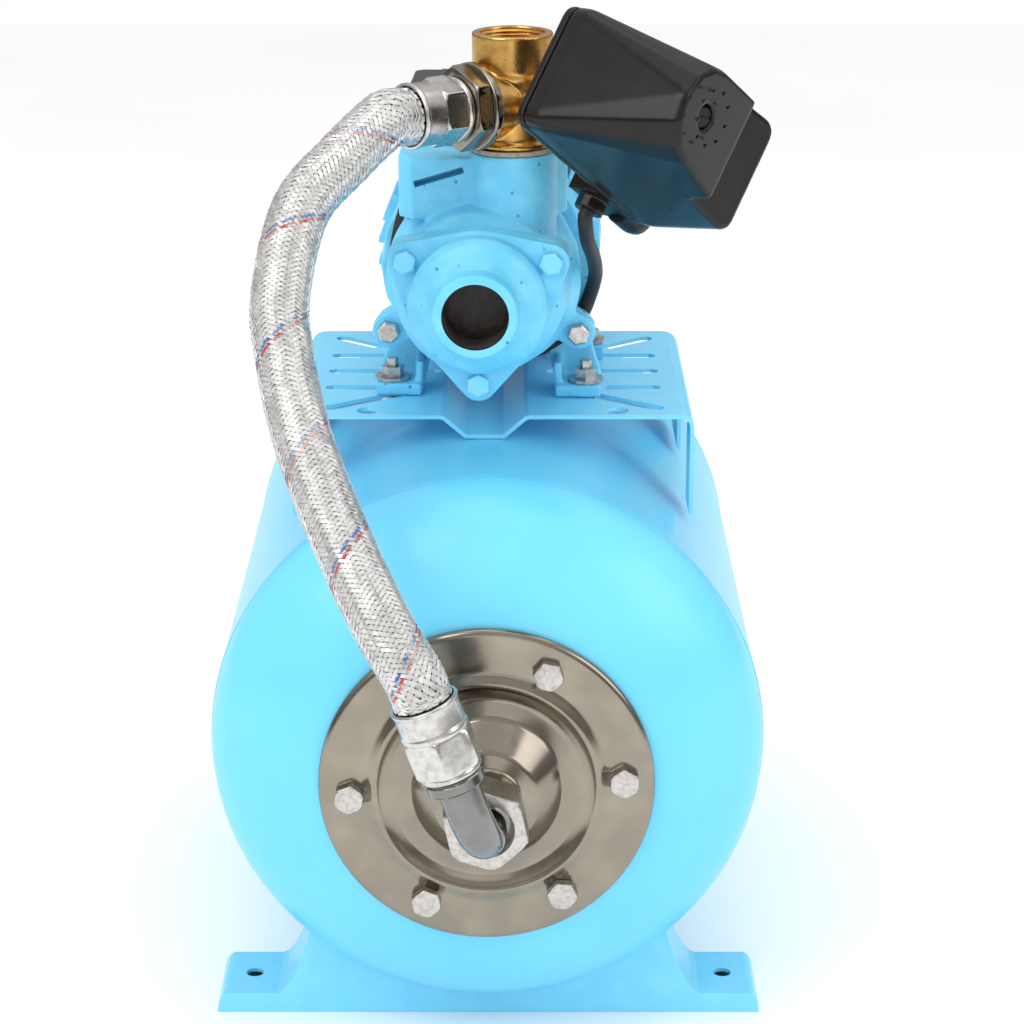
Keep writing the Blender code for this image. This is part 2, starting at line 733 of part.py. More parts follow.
def build_foot(name, station, set_frame, finishes):
    """A pressed foot: a saddle that holds the shell, with a pad at each end."""
    saddle = TANK_RADIUS + CLEAR
    half = FOOT_LENGTH / 2
    tip_angle = math.radians(FOOT_TIP_ANGLE)
    tip = (saddle * math.sin(tip_angle), TANK_AXIS_HEIGHT - saddle * math.cos(tip_angle))
    corner = 0.004
    right = [(half, 0.0), (half - 0.001, FOOT_PAD_HEIGHT - corner), (half - 0.003, FOOT_PAD_HEIGHT - 0.0012)]
    right += [(half - 0.001 - corner, FOOT_PAD_HEIGHT)]
    right += [(FOOT_PAD_INNER, FOOT_PAD_HEIGHT)]
    rise = tip[1] - FOOT_PAD_HEIGHT
    run = FOOT_PAD_INNER - tip[0]
    for step in range(1, 6):
        share = step / 6
        right.append((FOOT_PAD_INNER - run * share, FOOT_PAD_HEIGHT + rise * share**1.8))
    right.append(tip)
    under = []
    for step in range(1, 12):
        angle = tip_angle * (1 - step / 6)
        under.append((saddle * math.sin(angle), TANK_AXIS_HEIGHT - saddle * math.cos(angle)))
    left = [(-x, z) for x, z in right[::-1]]
    outline = right + under + left
    foot_frame = frame(name + "_frame", set_frame, (0, station + FOOT_DEPTH / 2, 0), (90.0, 0, 0))
    shape = prism(outline, -FOOT_DEPTH / 2, FOOT_DEPTH / 2)
    foot = put(name, shape, foot_frame, finishes["paint"])
    sheet = FOOT_SHEET
    inside = [(half - sheet - 0.001, -0.001), (half - sheet - 0.002, FOOT_PAD_HEIGHT - sheet)]
    inside += [(FOOT_PAD_INNER - 0.001, FOOT_PAD_HEIGHT - sheet)]
    inner_saddle = saddle + sheet * 1.6
    for step in range(1, 4):
        share = step / 6
        inside.append((FOOT_PAD_INNER - 0.001 - run * share, FOOT_PAD_HEIGHT - sheet + rise * share**1.8))
    for step in range(3, 10):
        angle = tip_angle * (1 - step / 6) * 0.9
        inside.append((inner_saddle * math.sin(angle), TANK_AXIS_HEIGHT - inner_saddle * math.cos(angle)))
    inside += [(-x, z) for x, z in inside[5::-1]]
    hollow = prism(inside, sheet - FOOT_DEPTH / 2, FOOT_DEPTH / 2 - sheet)
    cut(foot, hollow, "hollow")
    holes = []
    for side in (-1, 1):
        hole = upright(drill(FOOT_HOLE_RADIUS, -FOOT_PAD_HEIGHT * 2, FOOT_PAD_HEIGHT * 2, 16))
        holes.append(moved(hole, (side * FOOT_HOLE_SPACING / 2, 0, 0)))
    cut(foot, gathered(holes), "holes")


def platform_section():
    """The bent sheet's outer line from the left leg over the channel to the right leg."""
    half = PLATFORM_WIDTH / 2
    top = PLATFORM_TOP
    bend = PLATFORM_BEND
    nearest = half - PLATFORM_SHEET - abs(PLATFORM_OFFSET)
    foot = TANK_AXIS_HEIGHT + math.sqrt((TANK_RADIUS + CLEAR) ** 2 - nearest**2)
    left = [(-half, foot)] + arc((-half + bend, top - bend), bend, 180, 90, 4)
    edge = CHANNEL_TOP_WIDTH / 2
    slope = [(-edge - 0.001, top), (-edge + 0.001, top - 0.0008)]
    slope += [(-CHANNEL_FLOOR_WIDTH / 2, top - CHANNEL_DEPTH)]
    channel = slope + [(-x, z) for x, z in slope[::-1]]
    right = [(-x, z) for x, z in left[::-1]]
    return left + [(CHANNEL_OFFSET + x, z) for x, z in channel] + right


def offset_line(line, distance):
    """The line moved sideways to its right by a distance, its corners mitred."""
    points = [Vector((x, z)) for x, z in line]
    result = []
    for index, point in enumerate(points):
        normals = []
        if index > 0:
            along = (point - points[index - 1]).normalized()
            normals.append(Vector((along.y, -along.x)))
        if index < len(points) - 1:
            along = (points[index + 1] - point).normalized()
            normals.append(Vector((along.y, -along.x)))
        middle = sum(normals, Vector((0, 0))).normalized()
        reach = distance / middle.dot(normals[0])
        result.append(tuple(point + middle * reach))
    return result


def build_platform(set_frame, pump, finishes):
    """The platform bent from sheet, its channel resting on the tank, with slots for the pump's bolts."""
    line = platform_section()
    outline = line + offset_line(line, PLATFORM_SHEET)[::-1]
    front = PLATFORM_FRONT
    rear = front + PLATFORM_LENGTH
    sheet = frame("platform_frame", set_frame, (PLATFORM_OFFSET, 0, 0), (90.0, 0, 0))
    platform = put("pump_platform", prism(outline, -rear, -front), sheet, finishes["paint"])
    low = TANK_AXIS_HEIGHT
    half = PLATFORM_WIDTH / 2
    window = (low, PLATFORM_TOP - PLATFORM_BEND - 0.002)
    gap = (-(rear - REAR_TAB), -(front + FRONT_TAB))
    sides = [block((side * half - 0.01, side * half + 0.01), window, gap) for side in (-1, 1)]
    cut(platform, gathered(sides), "side_windows")
    slots = []
    for side in (-1, 1):
        routes = [
            ((LONG_SLOT_INNER, 0.1085), (SLOT_OUTER, 0.1085)),
            ((LONG_SLOT_INNER, 0.0790), (SLOT_OUTER, 0.0790)),
            ((0.0580, 0.0490), (SLOT_OUTER, 0.0490)),
            ((0.0525, 0.1190), (SLOT_OUTER, 0.1428)),
            ((0.0480, 0.0370), (SLOT_OUTER, 0.0130)),
        ]
        for start, end in routes:
            outline = capsule((side * start[0], start[1]), (side * end[0], end[1]), SLOT_WIDTH, 3)
            slot = prism(outline, -0.02, 0.02)
            slots.append(upright(slot, (0, PLATFORM_TOP, -front)))
        place = (side * FRONT_HOLE_SPACING / 2, FRONT_HOLE_STATION, 0)
        hole = moved(drill(FRONT_HOLE_RADIUS, -0.02, 0.02, 12), place)
        slots.append(upright(hole, (0, PLATFORM_TOP, -front)))
    cut(platform, gathered(slots), "slots")
    corner = PLATFORM_CORNER
    corners = []
    for side in (-1, 1):
        outline = [(side * (half + 0.01), 0.01), (side * (half - corner), 0.01)]
        start = (side * (half - corner), -corner)
        angles = (90, 0) if side > 0 else (90, 180)
        outline += arc(start, corner, angles[0], angles[1], 4) + [(side * (half + 0.01), -corner)]
        shape = prism(outline, -0.0075, 0.01)
        corners.append(upright(shape, (0, PLATFORM_TOP, -rear)))
    cut(platform, gathered(corners), "rear_corners")
    drills = []
    for x, z in fixing_places():
        drills.append(upright(drill(FIXING_RADIUS + HOLE_CLEAR, -0.02, 0.02), (x, -PUMP_SHAFT_HEIGHT, z)))
    cut(platform, gathered(drills), "fixing_holes", pump)


def fixing_places():
    """The pump bolts' places in the pump's frame, as X and Z."""
    places = []
    for station in (0.0, -FIXING_STEP):
        for side in (-1, 1):
            places.append((FEET_OFFSET + side * FIXING_SPACING / 2, station))
    return places


def build_fixings(pump, finishes):
    """Each bolt from under the platform, with its washer and nut on the pad."""
    plate_top = -PUMP_SHAFT_HEIGHT
    head = plate_top - PLATFORM_SHEET - CLEAR
    seat = plate_top + CLEAR + PAD_THICKNESS + CLEAR
    washer = 0.0016
    nut = 0.005
    for index, (x, z) in enumerate(fixing_places(), start=1):
        length = seat + washer + nut + FIXING_TAIL - head
        shape = hexagon_bolt(PUMP_BOLT_FLATS, PUMP_BOLT_HEAD, FIXING_RADIUS, length)
        moved(shape, turn=180.0, axis="X")
        name = "pump_fixing_" + str(index)
        fixing = put(name, upright(shape, (x, head, z)), pump, finishes["zinc_bright"], smooth=False)
        collar = turned(
            [
                (FIXING_RADIUS * 0.8, seat),
                (FIXING_WASHER_RADIUS, seat),
                (FIXING_WASHER_RADIUS, seat + washer),
                (FIXING_RADIUS * 0.8, seat + washer),
            ],
            12,
        )
        join(fixing, upright(collar, (x, 0, z)), "washer")
        shape = prism(hexagon(FIXING_NUT_FLATS, 15.0 * index), seat + washer - 0.0005, seat + washer + nut)
        join(fixing, upright(shape, (x, 0, z)), "nut")


def lobed_outline(disc, lobe, circle):
    """A disc with three lobes joined to it by straight tangents."""
    outline = []
    reach = math.degrees(math.acos((disc - lobe) / circle))
    for angle in (30.0, 150.0, 270.0):
        centre = (circle * math.cos(math.radians(angle)), circle * math.sin(math.radians(angle)))
        outline += arc(centre, lobe, angle - reach, angle + reach, 4)
        gap = 120.0 - 2 * reach
        if gap > 2.0:
            outline += arc((0, 0), disc, angle + reach + gap / 4, angle + reach + gap * 0.75, 2)
    return outline


def cover_bolt_places():
    places = []
    for angle in (30.0, 150.0, 270.0):
        turn = math.radians(angle)
        places.append((COVER_BOLT_CIRCLE * math.cos(turn), COVER_BOLT_CIRCLE * math.sin(turn)))
    return places


def build_pump_head(pump, finishes):
    """The casing with its outlet, and the cover with the suction port."""
    back = CASING_BACK
    face = CASING_FRONT
    ring = CASING_RING_RADIUS
    profile = [
        (0, back),
        (ring - 0.001, back),
        (ring, back + 0.001),
        (ring, back + CASING_RING_THICKNESS - 0.002),
        (ring - 0.002, back + CASING_RING_THICKNESS),
        (CASING_RADIUS + 0.0015, back + CASING_RING_THICKNESS + 0.002),
        (CASING_RADIUS, back + CASING_RING_THICKNESS + 0.006),
        (CASING_RADIUS - 0.003, face - 0.010),
        (CASING_RADIUS - 0.008, face - 0.003),
        (0, face - 0.003),
    ]
    casing = put("pump_casing", turned(profile, 22), pump, finishes["paint"])
    lobes = lobed_outline(COVER_DISC_RADIUS, COVER_LOBE_RADIUS, COVER_BOLT_CIRCLE)
    join(casing, prism(lobes, face - 0.012, face), "cover_flange")
    chamfer = 0.007
    left = -SHOULDER_LEFT
    plan = [
        (left, back + CLEAR),
        (SHOULDER_RIGHT, back + CLEAR),
        (SHOULDER_RIGHT, back + 0.0093),
        (OUTLET_OFFSET + 0.016, SHOULDER_FRONT - 0.006),
        (OUTLET_OFFSET, SHOULDER_FRONT),
        (left + chamfer, SHOULDER_FRONT),
        (left, SHOULDER_FRONT - chamfer),
    ]
    join(casing, upright(prism([(x, -z) for x, z in plan], SHOULDER_LOW, SHOULDER_TOP)), "shoulder")
    flat = OUTLET_STATION - back - 2 * CLEAR
    lean = math.degrees(math.asin(flat / (OUTLET_RADIUS - CLEAR)))
    plan = arc((OUTLET_OFFSET, OUTLET_STATION), OUTLET_RADIUS - CLEAR, -lean, 180 + lean, 12)
    join(casing, upright(prism([(x, -z) for x, z in plan], 0.012, OUTLET_NECK)), "outlet_root")
    boss = rod(OUTLET_RADIUS, OUTLET_NECK - CLEAR, OUTLET_HEIGHT, 20)
    join(casing, upright(boss, (OUTLET_OFFSET, 0, OUTLET_STATION)), "outlet_boss")
    for side in (-1, 1):
        outline = capsule((side * 0.030, -0.018), (side * EAR_X, EAR_Y), EAR_RADIUS * 2, 4)
        lug = prism(outline, back + CLEAR, back + CASING_RING_THICKNESS - CLEAR)
        join(casing, lug, "ear_" + ("left" if side < 0 else "right"))
    hub = IMPELLER_BACK - CHAMBER_CLEARANCE
    chamber_radius = IMPELLER_RADIUS + CHAMBER_CLEARANCE
    inner = chamber_radius - VANE_DEPTH
    floor = hub - CHANNEL_SIDE
    cavity = [
        (0, back - 0.005),
        (SEAL_BORE_RADIUS, back - 0.005),
        (SEAL_BORE_RADIUS, hub),
        (inner, hub),
        (inner, floor),
        (CHANNEL_RADIUS, floor),
        (CHANNEL_RADIUS, face + 0.005),
        (0, face + 0.005),
    ]
    cut(casing, moved(turned(cavity, ROUND), turn=5.0), "chamber")
    reach = (chamber_radius + CLEAR, CHANNEL_RADIUS + 0.001)
    stripper = block(reach, (-0.004, 0.004), (floor - 0.001, face - 0.0008))
    join(casing, moved(stripper, turn=98.0), "stripper")
    outlet = [(0, 0.028), (0.008, 0.028), (0.008, 0.045)]
    outlet += [(PORT_BORE_RADIUS, 0.045), (PORT_BORE_RADIUS, 0.08), (0, 0.08)]
    bore = moved(turned(outlet, ROUND), turn=5.0)
    cut(casing, upright(bore, (OUTLET_OFFSET, 0, OUTLET_STATION)), "outlet_bore")
    passage = block((0.004, 0.015), (0.026, 0.034), (OUTLET_STATION - 0.002, floor + 0.004))
    cut(casing, passage, "outlet_passage")
    slot = block((-0.0125, 0.0125), (-0.0016, 0.0016), (SHOULDER_FRONT - 0.012, SHOULDER_FRONT + 0.01))
    cut(casing, moved(slot, (-0.0205, 0.0550, 0), 17.0), "core_slot")
    holes = []
    for x, y in cover_bolt_places():
        holes.append(moved(drill(PUMP_BOLT_RADIUS + HOLE_CLEAR, face - 0.0115, face + 0.01), (x, y, 0)))
    for side in (-1, 1):
        hole = drill(PUMP_BOLT_RADIUS + HOLE_CLEAR, back - 0.01, back + 0.03)
        holes.append(moved(hole, (side * EAR_X, EAR_Y, 0)))
    cut(casing, gathered(holes), "bolt_holes")

    seat = face + CLEAR
    plate = seat + COVER_THICKNESS
    cover = put("suction_cover", prism(lobes, seat, plate), pump, finishes["paint"])
    bulge = [
        (0, seat + 0.001),
        (COVER_DISC_RADIUS - 0.002, seat + 0.001),
        (COVER_DISC_RADIUS - 0.002, plate + 0.007),
        (COVER_DISC_RADIUS - 0.0045, plate + 0.010),
        (SUCTION_BOSS_RADIUS, plate + 0.018),
        (SUCTION_BOSS_RADIUS, SUCTION_FACE - 0.001),
        (SUCTION_BOSS_RADIUS - 0.001, SUCTION_FACE),
        (0, SUCTION_FACE),
    ]
    join(cover, turned(bulge, 24), "bulge")
    channel = tube(CHANNEL_RADIUS, inner, seat - 0.002, seat + CHANNEL_SIDE)
    cut(cover, moved(channel, turn=5.0), "channel")
    bottom = SUCTION_FACE - SUCTION_DEPTH
    cut(cover, drill(PORT_BORE_RADIUS, bottom, SUCTION_FACE + 0.002, ROUND), "suction_bore")
    passage = block((0.010, 0.029), (-0.005, 0.005), (seat + CHANNEL_SIDE - 0.001, bottom + 0.002))
    cut(cover, moved(passage, turn=128.0), "suction_passage")
    holes = []
    for x, y in cover_bolt_places():
        holes.append(moved(drill(PUMP_BOLT_RADIUS + HOLE_CLEAR, seat - 0.002, plate + 0.01), (x, y, 0)))
    cut(cover, gathered(holes), "bolt_holes")
    for index, (x, y) in enumerate(cover_bolt_places(), start=1):
        shape = hexagon_bolt(PUMP_BOLT_FLATS, PUMP_BOLT_HEAD, PUMP_BOLT_RADIUS, PUMP_BOLT_LENGTH)
        moved(shape, (x, y, plate + CLEAR), 10.0 * index)
        put("cover_bolt_" + str(index), shape, pump, finishes["paint"], smooth=False)
    front = back + CASING_RING_THICKNESS
    for index, side in enumerate((-1, 1), start=1):
        shape = hexagon_bolt(PUMP_BOLT_FLATS, PUMP_BOLT_HEAD, PUMP_BOLT_RADIUS, PUMP_BOLT_LENGTH)
        moved(shape, (side * EAR_X, EAR_Y, front), 12.0 * side)
        put("bracket_bolt_" + str(index), shape, pump, finishes["paint"], smooth=False)


def footing(outline, side):
    """An outline of the right foot, or its mirror image for the left foot, set off from the pump's axis."""
    if side > 0:
        return [(FEET_OFFSET + x, y) for x, y in outline]
    return [(FEET_OFFSET - x, y) for x, y in outline[::-1]]


def build_bracket(pump, finishes):
    """The cast bracket between pump and motor, with the front pair of feet."""
    face = CASING_BACK - CLEAR
    ring = CASING_RING_RADIUS
    rear = HOUSING_FRONT + CLEAR
    bearing_floor = BEARING_FRONT + CLEAR
    hub_rear = BEARING_FRONT - BEARING_WIDTH
    web_rear = MOTOR_FRONT - BELL_WALL
    seal_floor = -0.003
    through = SHAFT_RADIUS + 0.0012
    profile = [
        (SEAL_BORE_RADIUS, face),
        (ring, face),
        (ring, face - 0.0075),
        (WAIST_RADIUS, face - 0.0075),
        (WAIST_RADIUS, MOTOR_FRONT),
        (BELL_RADIUS, MOTOR_FRONT),
        (BELL_RADIUS, rear),
        (BELL_RADIUS - BELL_WALL, rear),
        (BELL_RADIUS - BELL_WALL, web_rear),
        (BEARING_RADIUS + BELL_WALL, web_rear),
        (BEARING_RADIUS + BELL_WALL, hub_rear),
        (BEARING_RADIUS + CLEAR, hub_rear),
        (BEARING_RADIUS + CLEAR, bearing_floor),
        (through, bearing_floor),
        (through, seal_floor),
        (SEAL_BORE_RADIUS, seal_floor),
    ]
    bracket = put("motor_bracket", turned(profile, 20), pump, finishes["paint"])
    sole = CLEAR - PUMP_SHAFT_HEIGHT
    pad_top = sole + PAD_THICKNESS
    for side in (-1, 1):
        label = "left" if side < 0 else "right"
        outline = capsule((side * 0.030, -0.018), (side * EAR_X, EAR_Y), EAR_RADIUS * 2, 4)
        join(bracket, prism(outline, face - 0.0075 + CLEAR, face - CLEAR), "ear_" + label)
        inner = PAD_SPACING / 2 - PAD_WIDTH / 2
        outer = PAD_SPACING / 2 + PAD_WIDTH / 2
        web = [(inner, sole), (outer, sole), (outer, pad_top), (EAR_X + 0.002, EAR_Y - 0.004)]
        web += [(0.026, -0.024), (inner - 0.006, -0.036)]
        join(bracket, prism(footing(web, side), MOTOR_FRONT - 0.006, MOTOR_FRONT - 0.0005), "web_" + label)
        wall = [(inner, sole), (inner + 0.004, sole), (inner + 0.003, -0.046), (inner - 0.001, -0.046)]
        join(bracket, prism(footing(wall, side), MOTOR_FRONT - 0.003, face - 0.0005), "wall_" + label)
        pad = footing([(inner, sole), (outer, sole), (outer, pad_top), (inner, pad_top)], side)
        join(bracket, prism(pad, MOTOR_FRONT - 0.0055, PAD_FRONT), "pad_" + label)
    holes = []
    for side in (-1, 1):
        hole = drill(PUMP_BOLT_RADIUS + HOLE_CLEAR, face - 0.02, face + 0.01)
        holes.append(moved(hole, (side * EAR_X, EAR_Y, 0)))
        hole = drill(FIXING_RADIUS + HOLE_CLEAR, -PUMP_SHAFT_HEIGHT - 0.005, pad_top + 0.003)
        holes.append(upright(hole, (FEET_OFFSET + side * FIXING_SPACING / 2, 0, 0)))
    cut(bracket, gathered(holes), "bolt_holes")


def build_rotor(pump, finishes):
    """Everything that turns with the shaft, each piece with its origin on the pump's axis."""
    tip = IMPELLER_BACK + IMPELLER_WIDTH + CLEAR
    fan_rear = HOUSING_REAR - SHIELD_THICKNESS - 0.022
    core_front = -0.050
    core_rear = -0.105
    core_radius = SHAFT_RADIUS + 0.001
    profile = [
        (0, tip),
        (SHAFT_END_RADIUS - 0.0005, tip),
        (SHAFT_END_RADIUS, tip - 0.0005),
        (SHAFT_END_RADIUS, -0.002),
        (SHAFT_RADIUS, -0.004),
        (SHAFT_RADIUS, BEARING_FRONT - BEARING_WIDTH - 0.002),
        (core_radius, BEARING_FRONT - BEARING_WIDTH - 0.004),
        (core_radius, HOUSING_REAR + 0.004),
        (SHAFT_RADIUS, HOUSING_REAR + 0.003),
        (SHAFT_RADIUS, HOUSING_REAR - SHIELD_THICKNESS - 0.001),
        (SHAFT_END_RADIUS, HOUSING_REAR - SHIELD_THICKNESS - 0.002),
        (SHAFT_END_RADIUS, fan_rear),
        (0, fan_rear),
    ]
    put("shaft", turned(profile, SMALL), pump, finishes["steel"])

    low = IMPELLER_BACK
    high = low + IMPELLER_WIDTH
    bore = SHAFT_END_RADIUS + CLEAR
    web = 0.0015
    inner = IMPELLER_RADIUS - VANE_DEPTH
    profile = [
        (bore, low),
        (inner, low),
        (inner, (low + high) / 2 - web / 2),
        (IMPELLER_RADIUS, (low + high) / 2 - web / 2),
        (IMPELLER_RADIUS, (low + high) / 2 + web / 2),
        (inner, (low + high) / 2 + web / 2),
        (inner, high),
        (bore, high),
    ]
    impeller = put("impeller", turned(profile, IMPELLER_VANES), pump, finishes["brass"])
    vanes = []
    for index in range(IMPELLER_VANES):
        vane = block((inner - 0.001, IMPELLER_RADIUS), (-0.0008, 0.0008), (low, high))
        vanes.append(moved(vane, (0, 0, 0), 360.0 * (index + 0.5) / IMPELLER_VANES))
    join(impeller, gathered(vanes), "vanes")

    seal_front = low - CLEAR
    head = [
        (bore, seal_front),
        (SEAL_RADIUS, seal_front),
        (SEAL_RADIUS, seal_front - 0.004),
        (SEAL_RADIUS - 0.0015, seal_front - 0.005),
        (SEAL_RADIUS - 0.0015, 0.016),
        (SEAL_RADIUS - 0.0005, 0.013),
        (SEAL_RADIUS - 0.0005, 0.006),
        (bore, 0.006),
    ]
    put("seal_head", turned(head, SMALL), pump, finishes["black"])
    seat = tube(SEAL_BORE_RADIUS - CLEAR, SHAFT_RADIUS + 0.0008, -0.003 + CLEAR, 0.006 - CLEAR, 16)
    put("seal_seat", seat, pump, finishes["ceramic"])

    core = tube(ROTOR_RADIUS, core_radius + CLEAR, core_rear, core_front)
    put("rotor_core", core, pump, finishes["steel"])

    hub_low = HOUSING_REAR - SHIELD_THICKNESS - 0.0035
    disc = [
        (SHAFT_END_RADIUS + CLEAR, hub_low),
        (FAN_RADIUS - 0.002, hub_low),
        (FAN_RADIUS - 0.002, hub_low - 0.0018),
        (0.010, hub_low - 0.0018),
        (0.010, fan_rear + 0.002),
        (SHAFT_END_RADIUS + CLEAR, fan_rear + 0.002),
    ]
    fan = put("fan", turned(disc, 14), pump, finishes["black"])
    blades = []
    for index in range(FAN_BLADES):
        blade = block((0.0095, FAN_RADIUS), (-0.001, 0.001), (fan_rear + 0.004, hub_low - 0.001))
        blades.append(moved(blade, (0, 0, 0), 360.0 * index / FAN_BLADES))
    join(fan, gathered(blades), "blades")


def build_motor(pump, finishes):
    """Bearings, stator, finned housing with the rear feet, end shield and fan cover."""
    front = HOUSING_FRONT
    rear = HOUSING_REAR
    ring = (SHAFT_RADIUS + CLEAR, BEARING_RADIUS)
    low = BEARING_FRONT - BEARING_WIDTH
    put("bearing_front", tube(ring[1], ring[0], low, BEARING_FRONT, 16), pump, finishes["steel"])
    high = rear - CLEAR
    put("bearing_rear", tube(ring[1], ring[0], high - BEARING_WIDTH, high, 16), pump, finishes["steel"])

    bore = ROTOR_RADIUS + AIR_GAP
    winding = STATOR_RADIUS - 0.005
    stator = [
        (bore, -0.050),
        (bore + 0.004, -0.040),
        (winding, -0.040),
        (winding, -0.050),
        (STATOR_RADIUS, -0.050),
        (STATOR_RADIUS, -0.105),
        (winding, -0.105),
        (winding, -0.115),
        (bore + 0.004, -0.115),
        (bore, -0.105),
    ]
    put("stator", moved(turned(stator, ROUND), turn=FACET_TURN), pump, finishes["copper"])

    outline = []
    for index in range(MOTOR_FINS):
        centre = 360.0 * index / MOTOR_FINS
        pitch = 360.0 / MOTOR_FINS
        half = math.degrees(MOTOR_FIN_THICKNESS / 2 / MOTOR_FIN_RADIUS)
        root = half * 1.3
        tip = MOTOR_FIN_RADIUS
        for radius, angle in ((MOTOR_RADIUS, -root), (tip, -half), (tip, half), (MOTOR_RADIUS, root)):
            turn = math.radians(centre + pitch / 2 + angle)
            outline.append((radius * math.cos(turn), radius * math.sin(turn)))
    housing = put("motor_housing", prism(outline, rear, front), pump, finishes["paint"])
    sole = CLEAR - PUMP_SHAFT_HEIGHT
    pad_top = sole + PAD_THICKNESS
    inner = PAD_SPACING / 2 - PAD_WIDTH / 2
    outer = PAD_SPACING / 2 + PAD_WIDTH / 2
    station = -FIXING_STEP
    for side in (-1, 1):
        label = "left" if side < 0 else "right"
        pad = footing([(inner, sole), (outer, sole), (outer, pad_top), (inner, pad_top)], side)
        join(housing, prism(pad, station - 0.012, station + 0.012), "pad_" + label)
        web = [(inner, sole), (inner + 0.005, sole), (inner + 0.004, -0.037)]
        web += [(inner + 0.002, -0.034), (inner - 0.012, -0.043)]
        join(housing, prism(footing(web, side), station - 0.0115, station + 0.0115), "web_" + label)
    cut(housing, drill(STATOR_RADIUS + CLEAR, rear - 0.002, front + 0.002, ROUND), "bore")
    holes = [drill(FIXING_RADIUS + HOLE_CLEAR, sole - 0.002, pad_top + 0.003) for side in (-1, 1)]
    holes = [upright(hole, (x, 0, z)) for hole, (x, z) in zip(holes, fixing_places()[2:])]
    cut(housing, gathered(holes), "fixing_holes")

    shield = [
        (SHAFT_RADIUS + 0.0008, rear - SHIELD_THICKNESS),
        (BEARING_RADIUS + 0.004, rear - SHIELD_THICKNESS),
        (BEARING_RADIUS + 0.006, rear - 0.006),
        (MOTOR_RADIUS, rear - 0.006),
        (MOTOR_RADIUS, rear - CLEAR),
        (BEARING_RADIUS + CLEAR, rear - CLEAR),
        (BEARING_RADIUS + CLEAR, rear - CLEAR - BEARING_WIDTH - CLEAR),
        (SHAFT_RADIUS + 0.0008, rear - CLEAR - BEARING_WIDTH - CLEAR),
    ]
    put("end_shield", turned(shield, ROUND), pump, finishes["paint"])

    wall = FAN_COVER_WALL
    inside = MOTOR_RADIUS + 3 * CLEAR
    outside = inside + wall
    end = FAN_COVER_REAR
    cover = [
        (inside, rear - CLEAR),
        (outside, rear - CLEAR),
        (outside, end + 0.006),
        (outside - 0.006, end),
        (0, end),
        (0, end + wall),
        (inside - 0.006, end + wall),
        (inside, end + 0.007),
    ]
    fan_cover = put("fan_cover", turned(cover, 24), pump, finishes["paint"])
    slots = []
    for ring_index in range(GRILLE_RINGS):
        radius = 0.016 + 0.0105 * ring_index
        for part in range(GRILLE_ARCS):
            start = 360.0 * part / GRILLE_ARCS + math.degrees(0.0035 / radius)
            stop = 360.0 * (part + 1) / GRILLE_ARCS - math.degrees(0.0035 / radius)
            outline = arc((0, 0), radius + 0.0032, start, stop, 3)
            outline += arc((0, 0), radius - 0.0032, stop, start, 3)
            slots.append(prism(outline, end - 0.003, end + 0.005))
    cut(fan_cover, gathered(slots), "grille")


def build_terminal_box(pump, finishes):
    """The terminal box, saddled on the motor's fins, with the motor lead's gland at its front."""
    half = TERMINAL_WIDTH / 2
    middle = TERMINAL_FRONT - TERMINAL_LENGTH / 2
    outline = rounded_box(TERMINAL_WIDTH, TERMINAL_LENGTH, 0.006, 2)
    shape = moved(prism(outline, TERMINAL_LOW, TERMINAL_SPLIT), (0, 0, middle), -90.0, "X")
    box = put("terminal_box", shape, pump, finishes["black"])
    gland = turned(
        [
            (0, TERMINAL_FRONT - 0.002),
            (LEAD_GLAND_RADIUS, TERMINAL_FRONT - 0.002),
            (LEAD_GLAND_RADIUS, TERMINAL_FRONT + LEAD_GLAND_LENGTH - 0.002),
            (LEAD_GLAND_RADIUS - 0.0015, TERMINAL_FRONT + LEAD_GLAND_LENGTH),
            (0, TERMINAL_FRONT + LEAD_GLAND_LENGTH),
        ],
        SMALL,
    )
    join(box, moved(gland, (LEAD_GLAND_X, LEAD_GLAND_Y, 0)), "gland")
    rear = TERMINAL_FRONT - TERMINAL_LENGTH
    saddle = drill(MOTOR_FIN_RADIUS + CLEAR, rear - 0.002, TERMINAL_FRONT + 0.012, 36)
    cut(box, saddle, "saddle")
    hollow = rounded_box(TERMINAL_WIDTH - 0.006, TERMINAL_LENGTH - 0.006, 0.004)
    floor = MOTOR_FIN_RADIUS + 0.003
    cut(box, moved(prism(hollow, floor, TERMINAL_SPLIT + 0.002), (0, 0, middle), -90.0, "X"), "hollow")

    base = TERMINAL_SPLIT + CLEAR
    top = TERMINAL_TOP
    sections = []
    for height, inset in ((base, 0.0), (base + 0.004, 0.0), (top, 0.004)):
        points = rounded_box(TERMINAL_WIDTH - 2 * inset, TERMINAL_LENGTH - 2 * inset, 0.006)
        sections.append([(x, height, middle - z) for x, z in points])
    lid = put("terminal_lid", lofted(sections), pump, finishes["black"])
    panel = block((-half * 0.6, half * 0.6), (top - 0.002, top + 0.0013), (middle - 0.022, middle + 0.022))
    join(lid, panel, "raised_panel")


